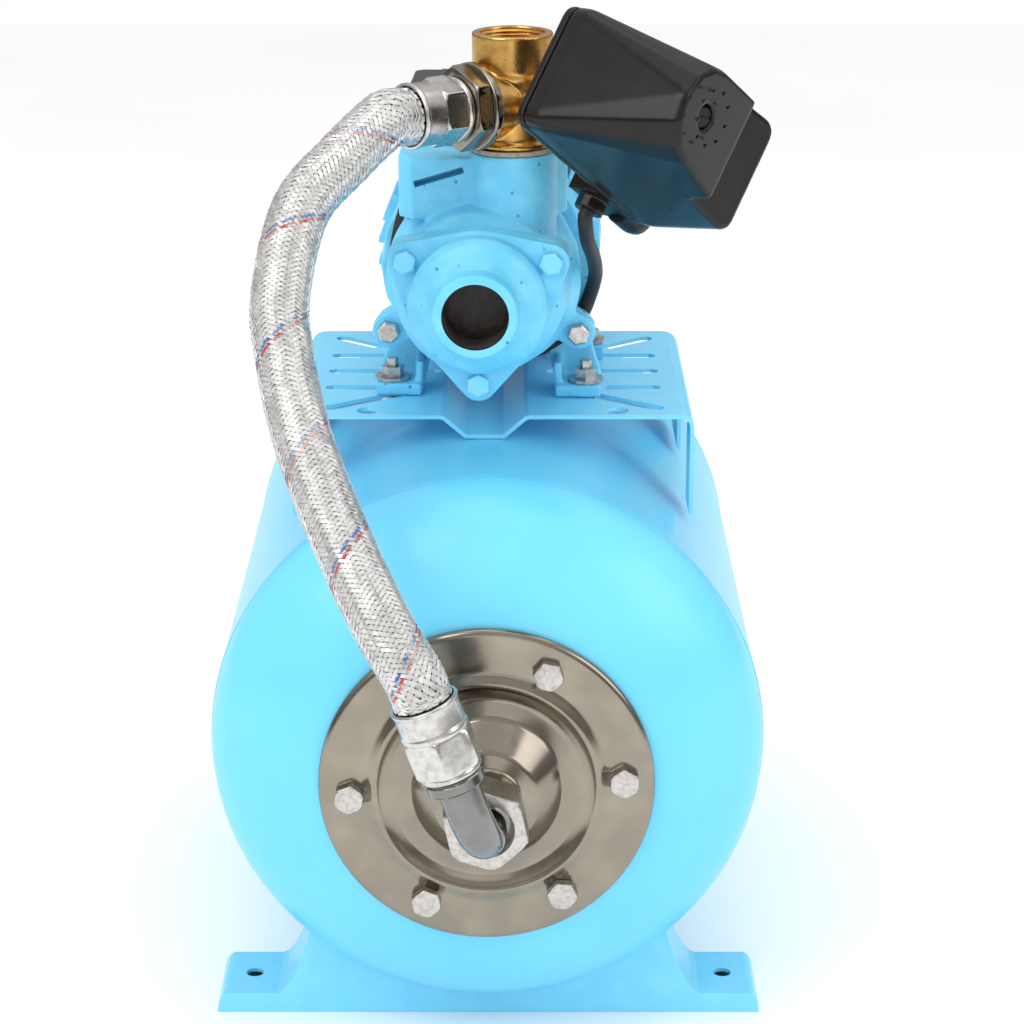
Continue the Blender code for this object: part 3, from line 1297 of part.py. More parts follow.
def build_fitting(tap, finishes):
    """The brass five-way fitting, its frame's Z along the outlet and its origin on the outlet's face."""
    seat = CLEAR + SEAL_RING_THICKNESS + CLEAR
    top = FITTING_HEIGHT
    body = FITTING_RADIUS
    profile = [
        (0, -0.012),
        (PORT_BORE_RADIUS - CLEAR, -0.012),
        (PORT_BORE_RADIUS - CLEAR, seat),
        (SOCKET_RADIUS, seat),
        (SOCKET_RADIUS, seat + 0.0025),
        (SOCKET_RADIUS - 0.003, seat + 0.006),
        (body - 0.0015, seat + 0.010),
        (body, BRANCH_HEIGHT - 0.008),
        (body, top - 0.021),
        (SOCKET_RADIUS, top - 0.017),
        (SOCKET_RADIUS, top),
        (0, top),
    ]
    fitting = put("five_way", turned(profile, ROUND), tap, finishes["brass"])
    for label, azimuth, radius, reach in (
        ("hose_branch", HOSE_PORT_AZIMUTH, BRANCH_RADIUS * 0.93, BRANCH_REACH),
        ("switch_branch", SWITCH_PORT_AZIMUTH, SMALL_PORT_RADIUS, SMALL_PORT_REACH),
        ("gauge_branch", GAUGE_PORT_AZIMUTH, SMALL_PORT_RADIUS, SMALL_PORT_REACH),
    ):
        branch = moved(rod(radius, 0.0, reach, 14), (0, 0, 0), 90.0, "Y")
        join(fitting, moved(branch, (0, 0, BRANCH_HEIGHT), azimuth), label)
    main = [(0, -0.014), (0.0125, -0.014), (0.0125, top - 0.019)]
    main += [(SOCKET_BORE, top - 0.018), (SOCKET_BORE, top + 0.002), (0, top + 0.002)]
    cut(fitting, moved(turned(main, 16), turn=5.0), "main_bore")
    for label, azimuth, radius, reach, sides in (
        ("hose_bore", HOSE_PORT_AZIMUTH, 0.0133, BRANCH_REACH, ROUND),
        ("switch_bore", SWITCH_PORT_AZIMUTH, SMALL_BORE_RADIUS, SMALL_PORT_REACH, 12),
        ("gauge_bore", GAUGE_PORT_AZIMUTH, SMALL_BORE_RADIUS, SMALL_PORT_REACH, 12),
    ):
        bore = moved(drill(radius, 0.004, reach + 0.003, sides), (0, 0, 0), 90.0, "Y")
        cut(fitting, moved(bore, (0, 0, BRANCH_HEIGHT), azimuth), label)
    ring = tube(OUTLET_RADIUS - 0.0005, PORT_BORE_RADIUS, CLEAR, CLEAR + SEAL_RING_THICKNESS)
    put("outlet_seal", ring, tap, finishes["fibre"])


def build_adapter(branch, finishes):
    """The threaded adapter in the side branch and the hose's upper nut, Z pointing out of the branch."""
    face = BRANCH_REACH + CLEAR
    ring = face + 0.0045
    hexagon_end = ring + 0.0084
    thread = hexagon_end + 0.011
    bore = 0.009
    profile = [
        (bore, BRANCH_REACH - 0.008),
        (0.0130, BRANCH_REACH - 0.008),
        (0.0130, face),
        (ADAPTER_RING_RADIUS - 0.001, face),
        (ADAPTER_RING_RADIUS, face + 0.001),
        (ADAPTER_RING_RADIUS, ring - 0.001),
        (ADAPTER_RING_RADIUS - 0.001, ring),
        (0.0125, ring),
        (0.0125, thread),
        (bore, thread),
    ]
    adapter = put("hose_adapter", turned(profile, 16), branch, finishes["zinc"])
    corner = ADAPTER_FLATS / math.sqrt(3)
    body = tube(corner, 0.0115, ring - 0.0005, hexagon_end, 6)
    join(adapter, moved(body, turn=8.0), "hexagon")
    low = hexagon_end + CLEAR
    high = low + UPPER_NUT_LENGTH
    seat = thread + CLEAR
    profile = [
        (0.0125 + CLEAR, low),
        (FERRULE_RADIUS - 0.001, low),
        (FERRULE_RADIUS, low + 0.001),
        (FERRULE_RADIUS, high - 0.001),
        (FERRULE_RADIUS - 0.001, high),
        (bore, high),
        (bore, seat),
        (0.0125 + CLEAR, seat),
    ]
    nut = put("upper_nut", turned(profile, 16), branch, finishes["nickel"])
    cut(nut, hexagon_flats(FERRULE_FLATS, low + 0.003, low + 0.016), "flats")
    return high + CLEAR


def build_gauge(branch, finishes):
    """The pressure gauge, its dial facing out of its branch."""
    back = GAUGE_BACK
    front = back + GAUGE_DEPTH
    pocket = front - 0.009
    stem = SMALL_BORE_RADIUS - CLEAR
    case = [
        (0, SMALL_PORT_REACH - 0.009),
        (stem, SMALL_PORT_REACH - 0.009),
        (stem, SMALL_PORT_REACH + CLEAR),
        (0.007, SMALL_PORT_REACH + CLEAR),
        (0.007, back),
        (GAUGE_RADIUS - 0.002, back),
        (GAUGE_RADIUS, back + 0.002),
        (GAUGE_RADIUS, front),
        (GAUGE_RADIUS - 0.002, front),
        (GAUGE_RADIUS - 0.002, pocket),
        (0.0012, pocket),
        (0.0012, pocket + 0.0015),
        (0, pocket + 0.0015),
    ]
    put("gauge_case", turned(case, 14), branch, finishes["black"])
    level = pocket + 0.0015 + CLEAR
    tip = [(0.0022, 0.0), (0.0012, 0.0019), (0.0004, 0.013)]
    tail = [(0.0016, -0.005)]
    needle = prism([(-x, y) for x, y in tail + tip] + (tail + tip)[::-1], level, level + 0.001)
    put("gauge_needle", moved(needle, (0, 0, 0), 135.0), branch, finishes["red"], smooth=False)
    lens = rod(GAUGE_RADIUS - 0.002 - CLEAR, front - 0.003, front - 0.0012, 14)
    put("gauge_lens", lens, branch, finishes["glass"])


def cover_outline(inset, share):
    """One level of the switch cover, from the round-cornered rim (0) to the round-ended crest (1)."""
    half_length = SWITCH_LENGTH / 2 - inset
    half_width = SWITCH_WIDTH / 2 - inset
    nose = COVER_NOSE - inset
    crest = COVER_CREST_RADIUS - inset
    corner = SWITCH_CORNER
    rim = []
    for side, level, start in ((1, 1, 0), (-1, 1, 90), (-1, -1, 180), (1, -1, 270)):
        centre = (side * (half_length - corner), level * (half_width - corner))
        rim += arc(centre, corner, start, start + 90, 3)
    shoulder = crest + COVER_NOSE_SPREAD - corner
    top = arc((nose - corner, shoulder), corner, 0, 90, 3)
    top += arc((COVER_CREST_X, 0), crest, 90, 180, 3)
    top += arc((COVER_CREST_X, 0), crest, 180, 270, 3)
    top += arc((nose - corner, -shoulder), corner, 270, 360, 3)
    return [tuple(Vector(low).lerp(Vector(high), share)) for low, high in zip(rim, top)]


def cover_height(x, drop=0.0):
    """The sloping top of the cover above the rim, highest round the screw and lowest at the nose."""
    slope = (COVER_HIGH - COVER_NOSE_HEIGHT) / (COVER_NOSE - COVER_CREST_X + COVER_CREST_RADIUS)
    return COVER_HIGH - drop - slope * (x - COVER_CREST_X + COVER_CREST_RADIUS)


def cover_solid(inset, low, drop):
    """The cover's body, or its hollow, between a level edge and the sloping top."""
    outline = cover_outline(inset, 0.0)
    sections = [[(x, y, SWITCH_RIM + level) for x, y in outline] for level in (low, COVER_SKIRT)]
    for share, narrow, sink in ((0.94, 1.0, 0.0035), (1.0, 0.96, 0.0)):
        top = [(x * (1 + narrow) / 2, y * narrow) for x, y in cover_outline(inset, share)]
        sections.append([(x, y, SWITCH_RIM + cover_height(x, drop) - sink) for x, y in top])
    return lofted(sections)


def build_nipple(branch, finishes):
    face = SMALL_PORT_REACH + CLEAR
    stem = SMALL_BORE_RADIUS - CLEAR
    back = SWITCH_BACK - CLEAR
    profile = [
        (0.0025, SMALL_PORT_REACH - 0.009),
        (stem, SMALL_PORT_REACH - 0.009),
        (stem, face),
        (0.0105, face),
        (0.0105, back - 0.007),
        (0.0170, back - 0.005),
        (0.0170, back),
        (0.0025, back),
    ]
    nipple = put("switch_nipple", turned(profile, 12), branch, finishes["zinc_bright"])
    cut(nipple, hexagon_flats(0.0185, face + 0.001, back - 0.008), "flats")


def build_switch_base(turn, finishes):
    """The switch's base: a flanged tray with a cable chamber, two glands, a screw post and pivot ears."""
    rim = SWITCH_RIM
    edge = rim + RIM_THICKNESS
    tray = SWITCH_TRAY_INSET
    floor = SWITCH_BACK + 0.0025
    inside = floor - 0.001
    plate = prism(rounded_box(SWITCH_LENGTH, SWITCH_WIDTH, SWITCH_CORNER), rim, edge)
    base = put("switch_base", plate, turn, finishes["plastic"])
    box = rounded_box(SWITCH_LENGTH - 2 * tray, SWITCH_WIDTH - 2 * tray, 0.005)
    join(base, prism(box, SWITCH_BACK, rim + 0.001), "tray")
    low = -SWITCH_WIDTH / 2 + 0.001
    chamber = block((CHAMBER_START, CHAMBER_END), (low, -0.002), (CHAMBER_BACK, rim + 0.0015))
    join(base, chamber, "cable_chamber")
    mouth = rod(GLAND_RADIUS, -SWITCH_WIDTH / 2 - GLAND_LENGTH, low + 0.001, SMALL)
    join(base, upright(mouth, (GLAND_STATION, 0, GLAND_DEPTH)), "gland")
    dome_points = arc((0, 0), BLANK_RADIUS, 0, 60, 2)
    blank = [(0, -0.012), (BLANK_RADIUS, -0.012)] + dome_points + [(0, BLANK_RADIUS)]
    plug = moved(turned(blank, 16), (0, 0, 0), 90.0, "Y")
    join(base, moved(plug, (BLANK_END, BLANK_LEVEL, BLANK_DEPTH)), "blank_gland")
    hollow = rounded_box(SWITCH_LENGTH - 2 * tray - 0.005, SWITCH_WIDTH - 2 * tray - 0.005, 0.004)
    cut(base, prism(hollow, floor, edge + 0.002), "hollow")
    room = (CHAMBER_START + 0.0025, CHAMBER_END - 0.0025)
    cut(base, block(room, (low + 0.0025, -0.0045), (CHAMBER_BACK + 0.0025, edge + 0.003)), "chamber_hollow")
    join(base, moved(rod(0.0040, inside, POST_TOP, SMALL), (COVER_SCREW_X, 0, 0)), "screw_post")
    hole = drill(SCREW_HOLE_RADIUS, POST_TOP - 0.012, POST_TOP + 0.003)
    cut(base, moved(hole, (COVER_SCREW_X, 0, 0)), "screw_hole")
    join(base, block((0.0265, 0.0385), (-0.0005, 0.0155), (inside, POST_TOP - 0.003)), "terminal_block")
    for label, across in (("low", (-0.0155, -0.0125)), ("high", (0.0125, 0.0155))):
        ear = block((LEVER_PIVOT_X - 0.004, LEVER_PIVOT_X + 0.0025), across, (inside, LEVER_LOW + 0.0035))
        join(base, ear, "pivot_ear_" + label)


def build_switch_works(turn, finishes):
    """The rocking lever, its range spring and the range screw through both."""
    floor = SWITCH_BACK + 0.0025
    low = LEVER_LOW
    high = low + LEVER_THICKNESS
    pivot = frame("lever_axis", turn, (LEVER_PIVOT_X, 0, (low + high) / 2))
    plate = block((-0.034, 0.0), (-0.0095, 0.0095), (-LEVER_THICKNESS / 2, LEVER_THICKNESS / 2))
    lever = put("switch_lever", plate, pivot, finishes["zinc_bright"], smooth=False)
    join(lever, moved(rod(0.0024, -0.0122, 0.0122, 8), (0, 0, 0), 90.0, "X"), "pivot")
    cut(lever, moved(drill(0.0032, -0.005, 0.005), (-LEVER_PIVOT_X, 0, 0)), "screw_hole")

    spring_low = high + 0.0022
    turns = 4
    sides = 8
    path = []
    for step in range(turns * sides + 1):
        angle = 2 * math.pi * step / sides
        height = spring_low + (SPRING_HIGH - 0.0012 - spring_low) * step / (turns * sides)
        path.append((0.0068 * math.cos(angle), 0.0068 * math.sin(angle), height))
    put("range_spring", bar(path, 0.0009, 4), turn, finishes["steel"])
    screw = [
        (0, floor + CLEAR),
        (0.0045, floor + CLEAR),
        (0.0045, floor + 0.0015),
        (0.0022, floor + 0.0015),
        (0.0022, SPRING_HIGH),
        (0.0085, SPRING_HIGH),
        (0.0085, SPRING_HIGH + 0.003),
        (0.0035, SPRING_HIGH + 0.003),
        (0.0035, SPRING_HIGH + 0.012),
        (0, SPRING_HIGH + 0.012),
    ]
    put("range_screw", turned(screw, SMALL), turn, finishes["steel"])


def nose_plan():
    """The cover's lower step, seen from its top."""
    corner = SWITCH_CORNER
    half = COVER_CREST_RADIUS + COVER_NOSE_SPREAD - CLEAR
    nose = COVER_NOSE - CLEAR
    start = COVER_STEP_X - SWITCH_WALL
    outline = [(start, -half)] + arc((nose - corner, corner - half), corner, 270, 360, 3)
    return outline + arc((nose - corner, half - corner), corner, 0, 90, 3) + [(start, half)]


def build_switch_cover(turn, finishes):
    """The hollow cover with its stepped nose and screw recess, and the screw that holds it."""
    rim = SWITCH_RIM
    cover = put("switch_cover", cover_solid(0.0, RIM_THICKNESS + CLEAR, 0.0), turn, finishes["plastic"])
    cut(cover, cover_solid(SWITCH_WALL, RIM_THICKNESS - 0.003, SWITCH_WALL), "hollow")
    nose_floor = rim + COVER_STEP_HEIGHT
    sky = (nose_floor, rim + COVER_HIGH * 1.2)
    above = block((COVER_STEP_X, SWITCH_LENGTH / 2), (-SWITCH_WIDTH, SWITCH_WIDTH), sky)
    cut(cover, above, "nose_step")
    join(cover, prism(nose_plan(), nose_floor - SWITCH_WALL, nose_floor - CLEAR / 3), "nose_floor")
    half = COVER_CREST_RADIUS - CLEAR
    riser_top = rim + cover_height(COVER_STEP_X) - SWITCH_WALL / 2
    sheet = (COVER_STEP_X - SWITCH_WALL + CLEAR, COVER_STEP_X - CLEAR / 3)
    riser = block(sheet, (-half, half), (nose_floor - SWITCH_WALL / 2, riser_top))
    join(cover, riser, "nose_riser")
    seat = rim + cover_height(COVER_SCREW_X) - SCREW_RECESS
    well = moved(rod(0.0075, seat - 0.0025, seat + SCREW_RECESS - 0.0012, SMALL), (COVER_SCREW_X, 0, 0))
    join(cover, well, "screw_well")
    cut(cover, moved(drill(0.0058, seat, seat + 0.02, SMALL), (COVER_SCREW_X, 0, 0)), "screw_recess")
    passage = moved(drill(0.0022, seat - 0.01, seat + 0.002), (COVER_SCREW_X, 0, 0), 9.0)
    cut(cover, passage, "screw_passage")
    shank = SCREW_HOLE_RADIUS - CLEAR
    profile = [
        (0, POST_TOP - 0.011),
        (shank, POST_TOP - 0.011),
        (shank, seat + CLEAR),
        (0.0052, seat + CLEAR),
        (0.0052, seat + 0.0022),
        (0.0042, seat + 0.003),
        (0, seat + 0.003),
    ]
    axis = frame("cover_screw_axis", turn, (COVER_SCREW_X, 0, 0))
    screw = put("cover_screw", turned(profile, SMALL), axis, finishes["zinc_bright"])
    slot = block((-0.006, 0.006), (-0.0006, 0.0006), (seat + 0.0016, seat + 0.006))
    cut(screw, moved(slot, turn=20.0), "slot")


def bar(path, radius, segments):
    """A solid round bar along a path."""
    points = [Vector(point) for point in path]
    shape = bmesh.new()
    side = Vector((0, 0, 1))
    rings = []
    for index, point in enumerate(points):
        along = (points[min(index + 1, len(points) - 1)] - points[max(index - 1, 0)]).normalized()
        side = (side - along * side.dot(along)).normalized()
        other = along.cross(side)
        ring = []
        for step in range(segments):
            angle = 2 * math.pi * step / segments
            reach = side * (radius * math.cos(angle)) + other * (radius * math.sin(angle))
            ring.append(shape.verts.new(point + reach))
        rings.append(ring)
    for low, high in zip(rings, rings[1:]):
        bridge(shape, low, high)
    shape.faces.new(rings[0][::-1])
    shape.faces.new(rings[-1])
    return shape


# The hose's centre line between its two fittings, from low to high, in the set's own frame.
HOSE_ROUTE = (
    (-0.0437, -0.0570, 0.2546),
    (-0.0573, -0.0410, 0.2767),
    (-0.0713, -0.0200, 0.3022),
    (-0.0832, 0.0000, 0.3286),
    (-0.0907, 0.0200, 0.3555),
    (-0.0937, 0.0380, 0.3797),
    (-0.0853, 0.0600, 0.4151),
    (-0.0661, 0.0760, 0.4355),
)

# The motor lead's centre line from the switch round the bracket's waist to the terminal box.
LEAD_ROUTE = (
    (0.0472, 0.1090, 0.3960),
    (0.0485, 0.1180, 0.3870),
    (0.0510, 0.1320, 0.3780),
    (0.0530, 0.1470, 0.3680),
    (0.0535, 0.1600, 0.3590),
    (0.0515, 0.1690, 0.3480),
    (0.0470, 0.1708, 0.3365),
    (0.0370, 0.1713, 0.3255),
    (0.0210, 0.1719, 0.3165),
    (0.0020, 0.1727, 0.3130),
    (-0.0170, 0.1735, 0.3165),
    (-0.0325, 0.1742, 0.3265),
    (-0.0430, 0.1746, 0.3420),
    (-0.0465, 0.1748, 0.3600),
    (-0.0445, 0.1747, 0.3780),
    (-0.0395, 0.1745, 0.3950),
    (-0.0340, 0.1760, 0.4090),
    (-0.0300, 0.1810, 0.4175),
    (-0.0285, 0.1910, 0.4185),
)


def build():
    """Puts the whole set together."""
    for old in list(bpy.data.objects):
        bpy.data.objects.remove(old, do_unlink=True)
    finishes = {
        "paint": finish("sky_blue_paint", (0.15, 0.58, 0.85), 0.32),
        "zinc": finish("yellow_zinc_steel", (0.66, 0.62, 0.50), 0.35, 1.0),
        "zinc_bright": finish("bright_zinc_steel", (0.74, 0.74, 0.74), 0.35, 1.0),
        "chrome": finish("chrome", (0.80, 0.80, 0.80), 0.10, 1.0),
        "nickel": finish("nickel_plate", (0.78, 0.78, 0.78), 0.28, 1.0),
        "brass": finish("brass", (0.70, 0.42, 0.14), 0.32, 1.0),
        "steel": finish("steel", (0.55, 0.55, 0.56), 0.35, 1.0),
        "braid": finish("steel_braid", (0.62, 0.62, 0.62), 0.40, 1.0),
        "rubber": finish("rubber", (0.03, 0.03, 0.03), 0.80),
        "black": finish("black_plastic", (0.02, 0.02, 0.02), 0.45),
        "plastic": finish("moulded_black_plastic", (0.02, 0.018, 0.017), 0.35),
        "ceramic": finish("ceramic", (0.80, 0.78, 0.72), 0.25),
        "copper": finish("copper_windings", (0.55, 0.22, 0.10), 0.40, 1.0),
        "fibre": finish("fibre_seal", (0.55, 0.50, 0.40), 0.80),
        "glass": finish("clear_lens", (0.90, 0.95, 0.95), 0.05),
        "red": finish("needle_paint", (0.60, 0.05, 0.03), 0.40),
    }
    set_frame = frame("set_frame", None, (0, -REFERENCE_Y, 0))
    tank = frame("flange_frame", set_frame, (0, 0, TANK_AXIS_HEIGHT), (90.0, 0, 0))
    pump = frame("pump_axis", set_frame, (PUMP_OFFSET, PUMP_STATION, PUMP_AXIS_HEIGHT), (90.0, 0, PUMP_YAW))

    build_tank(tank, finishes)
    build_flange(tank, finishes)
    build_elbow(tank, finishes)
    front_foot = -SEAM_FRONT
    rear_foot = -SEAM_REAR - FOOT_DEPTH
    build_foot("foot_front", front_foot, set_frame, finishes)
    build_foot("foot_rear", rear_foot, set_frame, finishes)
    build_platform(set_frame, pump, finishes)
    build_fixings(pump, finishes)
    build_pump_head(pump, finishes)
    build_bracket(pump, finishes)
    build_rotor(pump, finishes)
    build_motor(pump, finishes)
    build_terminal_box(pump, finishes)

    tap = frame("outlet_axis", pump, (OUTLET_OFFSET, OUTLET_HEIGHT, OUTLET_STATION), (-90.0, 0, 0))
    tap_plain = frame("fitting_axis", tap, (0, 0, 0), (0, 0, -PUMP_YAW))
    build_fitting(tap_plain, finishes)
    level = (0, 0, BRANCH_HEIGHT)
    hose_branch = frame("hose_branch", tap_plain, level, (90.0, 0, HOSE_PORT_AZIMUTH + 90.0))
    switch_branch = frame("switch_branch", tap_plain, level, (90.0, 0, SWITCH_PORT_AZIMUTH + 90.0))
    gauge_branch = frame("gauge_branch", tap_plain, level, (90.0, 0, GAUGE_PORT_AZIMUTH + 90.0))
    hose_start = build_adapter(hose_branch, finishes)
    build_gauge(gauge_branch, finishes)
    build_nipple(switch_branch, finishes)
    turn = frame("switch_axis", switch_branch, (0, 0, 0), (0, 0, SWITCH_TURN))
    build_switch_base(turn, finishes)
    build_switch_works(turn, finishes)
    build_switch_cover(turn, finishes)

    bpy.context.view_layer.update()
    into_set = set_frame.matrix_world.inverted()
    tank_to_set = into_set @ tank.matrix_world
    branch_to_set = into_set @ hose_branch.matrix_world
    leg = leg_direction()
    hose = []
    for reach in (CLEAR, 0.006, 0.012):
        along = LOWER_FERRULE_START + LOWER_FERRULE_LENGTH + reach
        hose.append(tank_to_set @ (leg * along + Vector((0, 0, ELBOW_REACH))))
    hose += [Vector(point) for point in HOSE_ROUTE]
    hose += [branch_to_set @ Vector((0, 0, hose_start + reach)) for reach in (0.013, 0.006, 0.0)]
    cord("hose", hose, HOSE_RADIUS, HOSE_RADIUS * 2 * 0.5, 2, set_frame, finishes["braid"])

    switch_to_set = into_set @ turn.matrix_world
    pump_to_set = into_set @ pump.matrix_world
    boss_end = -SWITCH_WIDTH / 2 - GLAND_LENGTH
    lead = []
    for reach in (CLEAR, 0.003):
        lead.append(switch_to_set @ Vector((GLAND_STATION, boss_end - reach, GLAND_DEPTH)))
    lead += [Vector(point) for point in LEAD_ROUTE]
    gland_end = TERMINAL_FRONT + LEAD_GLAND_LENGTH
    for reach in (0.010, CLEAR):
        lead.append(pump_to_set @ Vector((LEAD_GLAND_X, LEAD_GLAND_Y, gland_end + reach)))
    cord("motor_lead", lead, LEAD_RADIUS, LEAD_RADIUS * 2 * 1.6, 1, set_frame, finishes["rubber"])


build()
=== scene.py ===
"""Dresses the booster pump set on its frame: one class for each sub-assembly, and the studio round it.

The front-view frames have X to the right, Y up and Z towards someone facing that piece, as in the model.
"""

import logging
import math
from dataclasses import dataclass
from enum import Enum
from typing import Iterable, Sequence

import bmesh
import bpy
from mathutils import Matrix, Vector


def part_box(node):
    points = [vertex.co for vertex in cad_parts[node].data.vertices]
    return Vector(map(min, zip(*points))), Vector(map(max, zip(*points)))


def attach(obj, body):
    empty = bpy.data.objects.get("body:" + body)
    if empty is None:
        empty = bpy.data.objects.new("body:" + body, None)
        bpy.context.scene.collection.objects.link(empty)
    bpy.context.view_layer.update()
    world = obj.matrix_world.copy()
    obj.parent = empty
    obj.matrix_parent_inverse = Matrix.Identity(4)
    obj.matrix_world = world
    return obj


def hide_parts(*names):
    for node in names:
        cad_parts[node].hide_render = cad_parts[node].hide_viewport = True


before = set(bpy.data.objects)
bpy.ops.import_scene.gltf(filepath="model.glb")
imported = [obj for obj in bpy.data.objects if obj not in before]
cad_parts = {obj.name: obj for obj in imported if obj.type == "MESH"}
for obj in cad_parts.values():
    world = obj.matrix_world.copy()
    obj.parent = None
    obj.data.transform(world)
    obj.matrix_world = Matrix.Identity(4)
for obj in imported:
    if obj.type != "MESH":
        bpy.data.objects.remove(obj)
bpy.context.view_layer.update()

logging.basicConfig(level=logging.INFO, format="%(name)s: %(message)s")
log = logging.getLogger("pump_set")

MM = 0.001
PER_METRE = 1000
CLEAR = 0.3 * MM

Shape = bmesh.types.BMesh
Material = bpy.types.Material
Object = bpy.types.Object
Point = tuple[float, float]
Profile = Sequence[Point]


class Body(str, Enum):
    """The bodies of the frame that pieces ride on."""

    BASE = "base"
    COVER = "cover"


# Places worked out from the frame


def facing(origin: Vector, outward: Vector) -> Matrix:
    """A front-view frame on a level axis.

    Args:
        origin: Its origin in the row frame.
        outward: Its Z, towards the viewer.

    Returns:
        The frame's matrix.
    """
    up = Vector((0, 0, 1))
    across = up.cross(outward).normalized()
    turn = Matrix((across, up, outward.normalized())).transposed().to_4x4()
    return Matrix.Translation(origin) @ turn


SET_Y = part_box("flange_bolt_1")[0].y
PUMP_TURN = math.radians(-2.4)
PUMP_PLACE = Vector((-1.6 * MM, SET_Y + 166 * MM, 360.3 * MM))
PUMP = facing(PUMP_PLACE, Vector((math.sin(PUMP_TURN), -math.cos(PUMP_TURN), 0)))
TANK_HEIGHT = 150 * MM
TANK = facing(Vector((0, SET_Y, TANK_HEIGHT)), Vector((0, -1, 0)))
SEAL_LOW, SEAL_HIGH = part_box("outlet_seal")
SEAL_MIDDLE = (SEAL_LOW + SEAL_HIGH) / 2
FITTING = Matrix.Translation((SEAL_MIDDLE.x, SEAL_MIDDLE.y, SEAL_LOW.z - CLEAR))
BRANCH_HEIGHT = 24 * MM
SWITCH_TURN = -36.8


def branch(azimuth: float, turn: float = 0.0) -> Matrix:
    """The frame of a side branch of the brass fitting.

    Args:
        azimuth: The branch's direction in degrees from +X.
        turn: A turn about the branch's own axis, in degrees.

    Returns:
        The frame's matrix, Z out of the branch.
    """
    level = FITTING @ Matrix.Translation((0, 0, BRANCH_HEIGHT))
    side = Matrix.Rotation(math.radians(azimuth + 90), 4, "Z") @ Matrix.Rotation(math.radians(90), 4, "X")
    return level @ side @ Matrix.Rotation(math.radians(turn), 4, "Z")


HOSE_BRANCH = branch(220.0)
GAUGE_BRANCH = branch(45.0)
SWITCH_BRANCH = branch(-45.0)
SWITCH = branch(-45.0, SWITCH_TURN)


# Node trees


class Graph:
    """A node tree whose nodes are made and fed in one call."""

    def __init__(self, tree: bpy.types.NodeTree) -> None:
        """Keeps the tree.

        Args:
            tree: The tree to fill.
        """
        self.tree = tree

    def feed(self, socket, value) -> None:
        """Links or sets one input.

        Args:
            socket: The input.
            value: A socket or a constant.
        """
        if isinstance(value, bpy.types.NodeSocket):
            self.tree.links.new(value, socket)
        else:
            socket.default_value = value

    def fill(self, node, **inputs):
        """Links or sets a node's inputs.

        Args:
            node: The node.
            inputs: Sockets to link or values to set, by name with spaces as underscores.

        Returns:
            The same node.
        """
        for name, value in inputs.items():
            self.feed(node.inputs[name.replace("_", " ")], value)
        return node

    def node(self, kind: str, **inputs):
        """One new node with its inputs.

        Args:
            kind: The node's type.
            inputs: As for fill.

        Returns:
            The node.
        """
        return self.fill(self.tree.nodes.new(kind), **inputs)

    def mixed(self, factor, low, high):
        """A mix of two colours.

        Args:
            factor: The share of the second.
            low: The first colour.
            high: The second colour.

        Returns:
            The result's socket.
        """
        mix = self.tree.nodes.new("ShaderNodeMix")
        mix.data_type = "RGBA"
        for index, value in ((6, low), (7, high), (0, factor)):
            self.feed(mix.inputs[index], value)
        return mix.outputs[2]


# Finishes


def linear(colour: str) -> tuple[float, float, float, float]:
    """A hex sRGB colour as the shader's linear one.

    Args:
        colour: Six hex digits after a hash.

    Returns:
        Red, green, blue and alpha.
    """
    parts = [int(colour[start : start + 2], 16) / 255 for start in (1, 3, 5)]
    flat = [part / 12.92 if part <= 0.04045 else ((part + 0.055) / 1.055) ** 2.4 for part in parts]
    return (flat[0], flat[1], flat[2], 1.0)


# Shares of the noise between which one colour turns into the other, and a pit into its surroundings
PATCH_EDGES = (0.42, 0.72)
PIT_EDGES = (0.04, 0.13)
PIT_DEPTH = 0.25 * MM
# Painted shade: the darker blue that the pits are coloured
PIT_SHADE_COLOUR = "#2C7FA8"


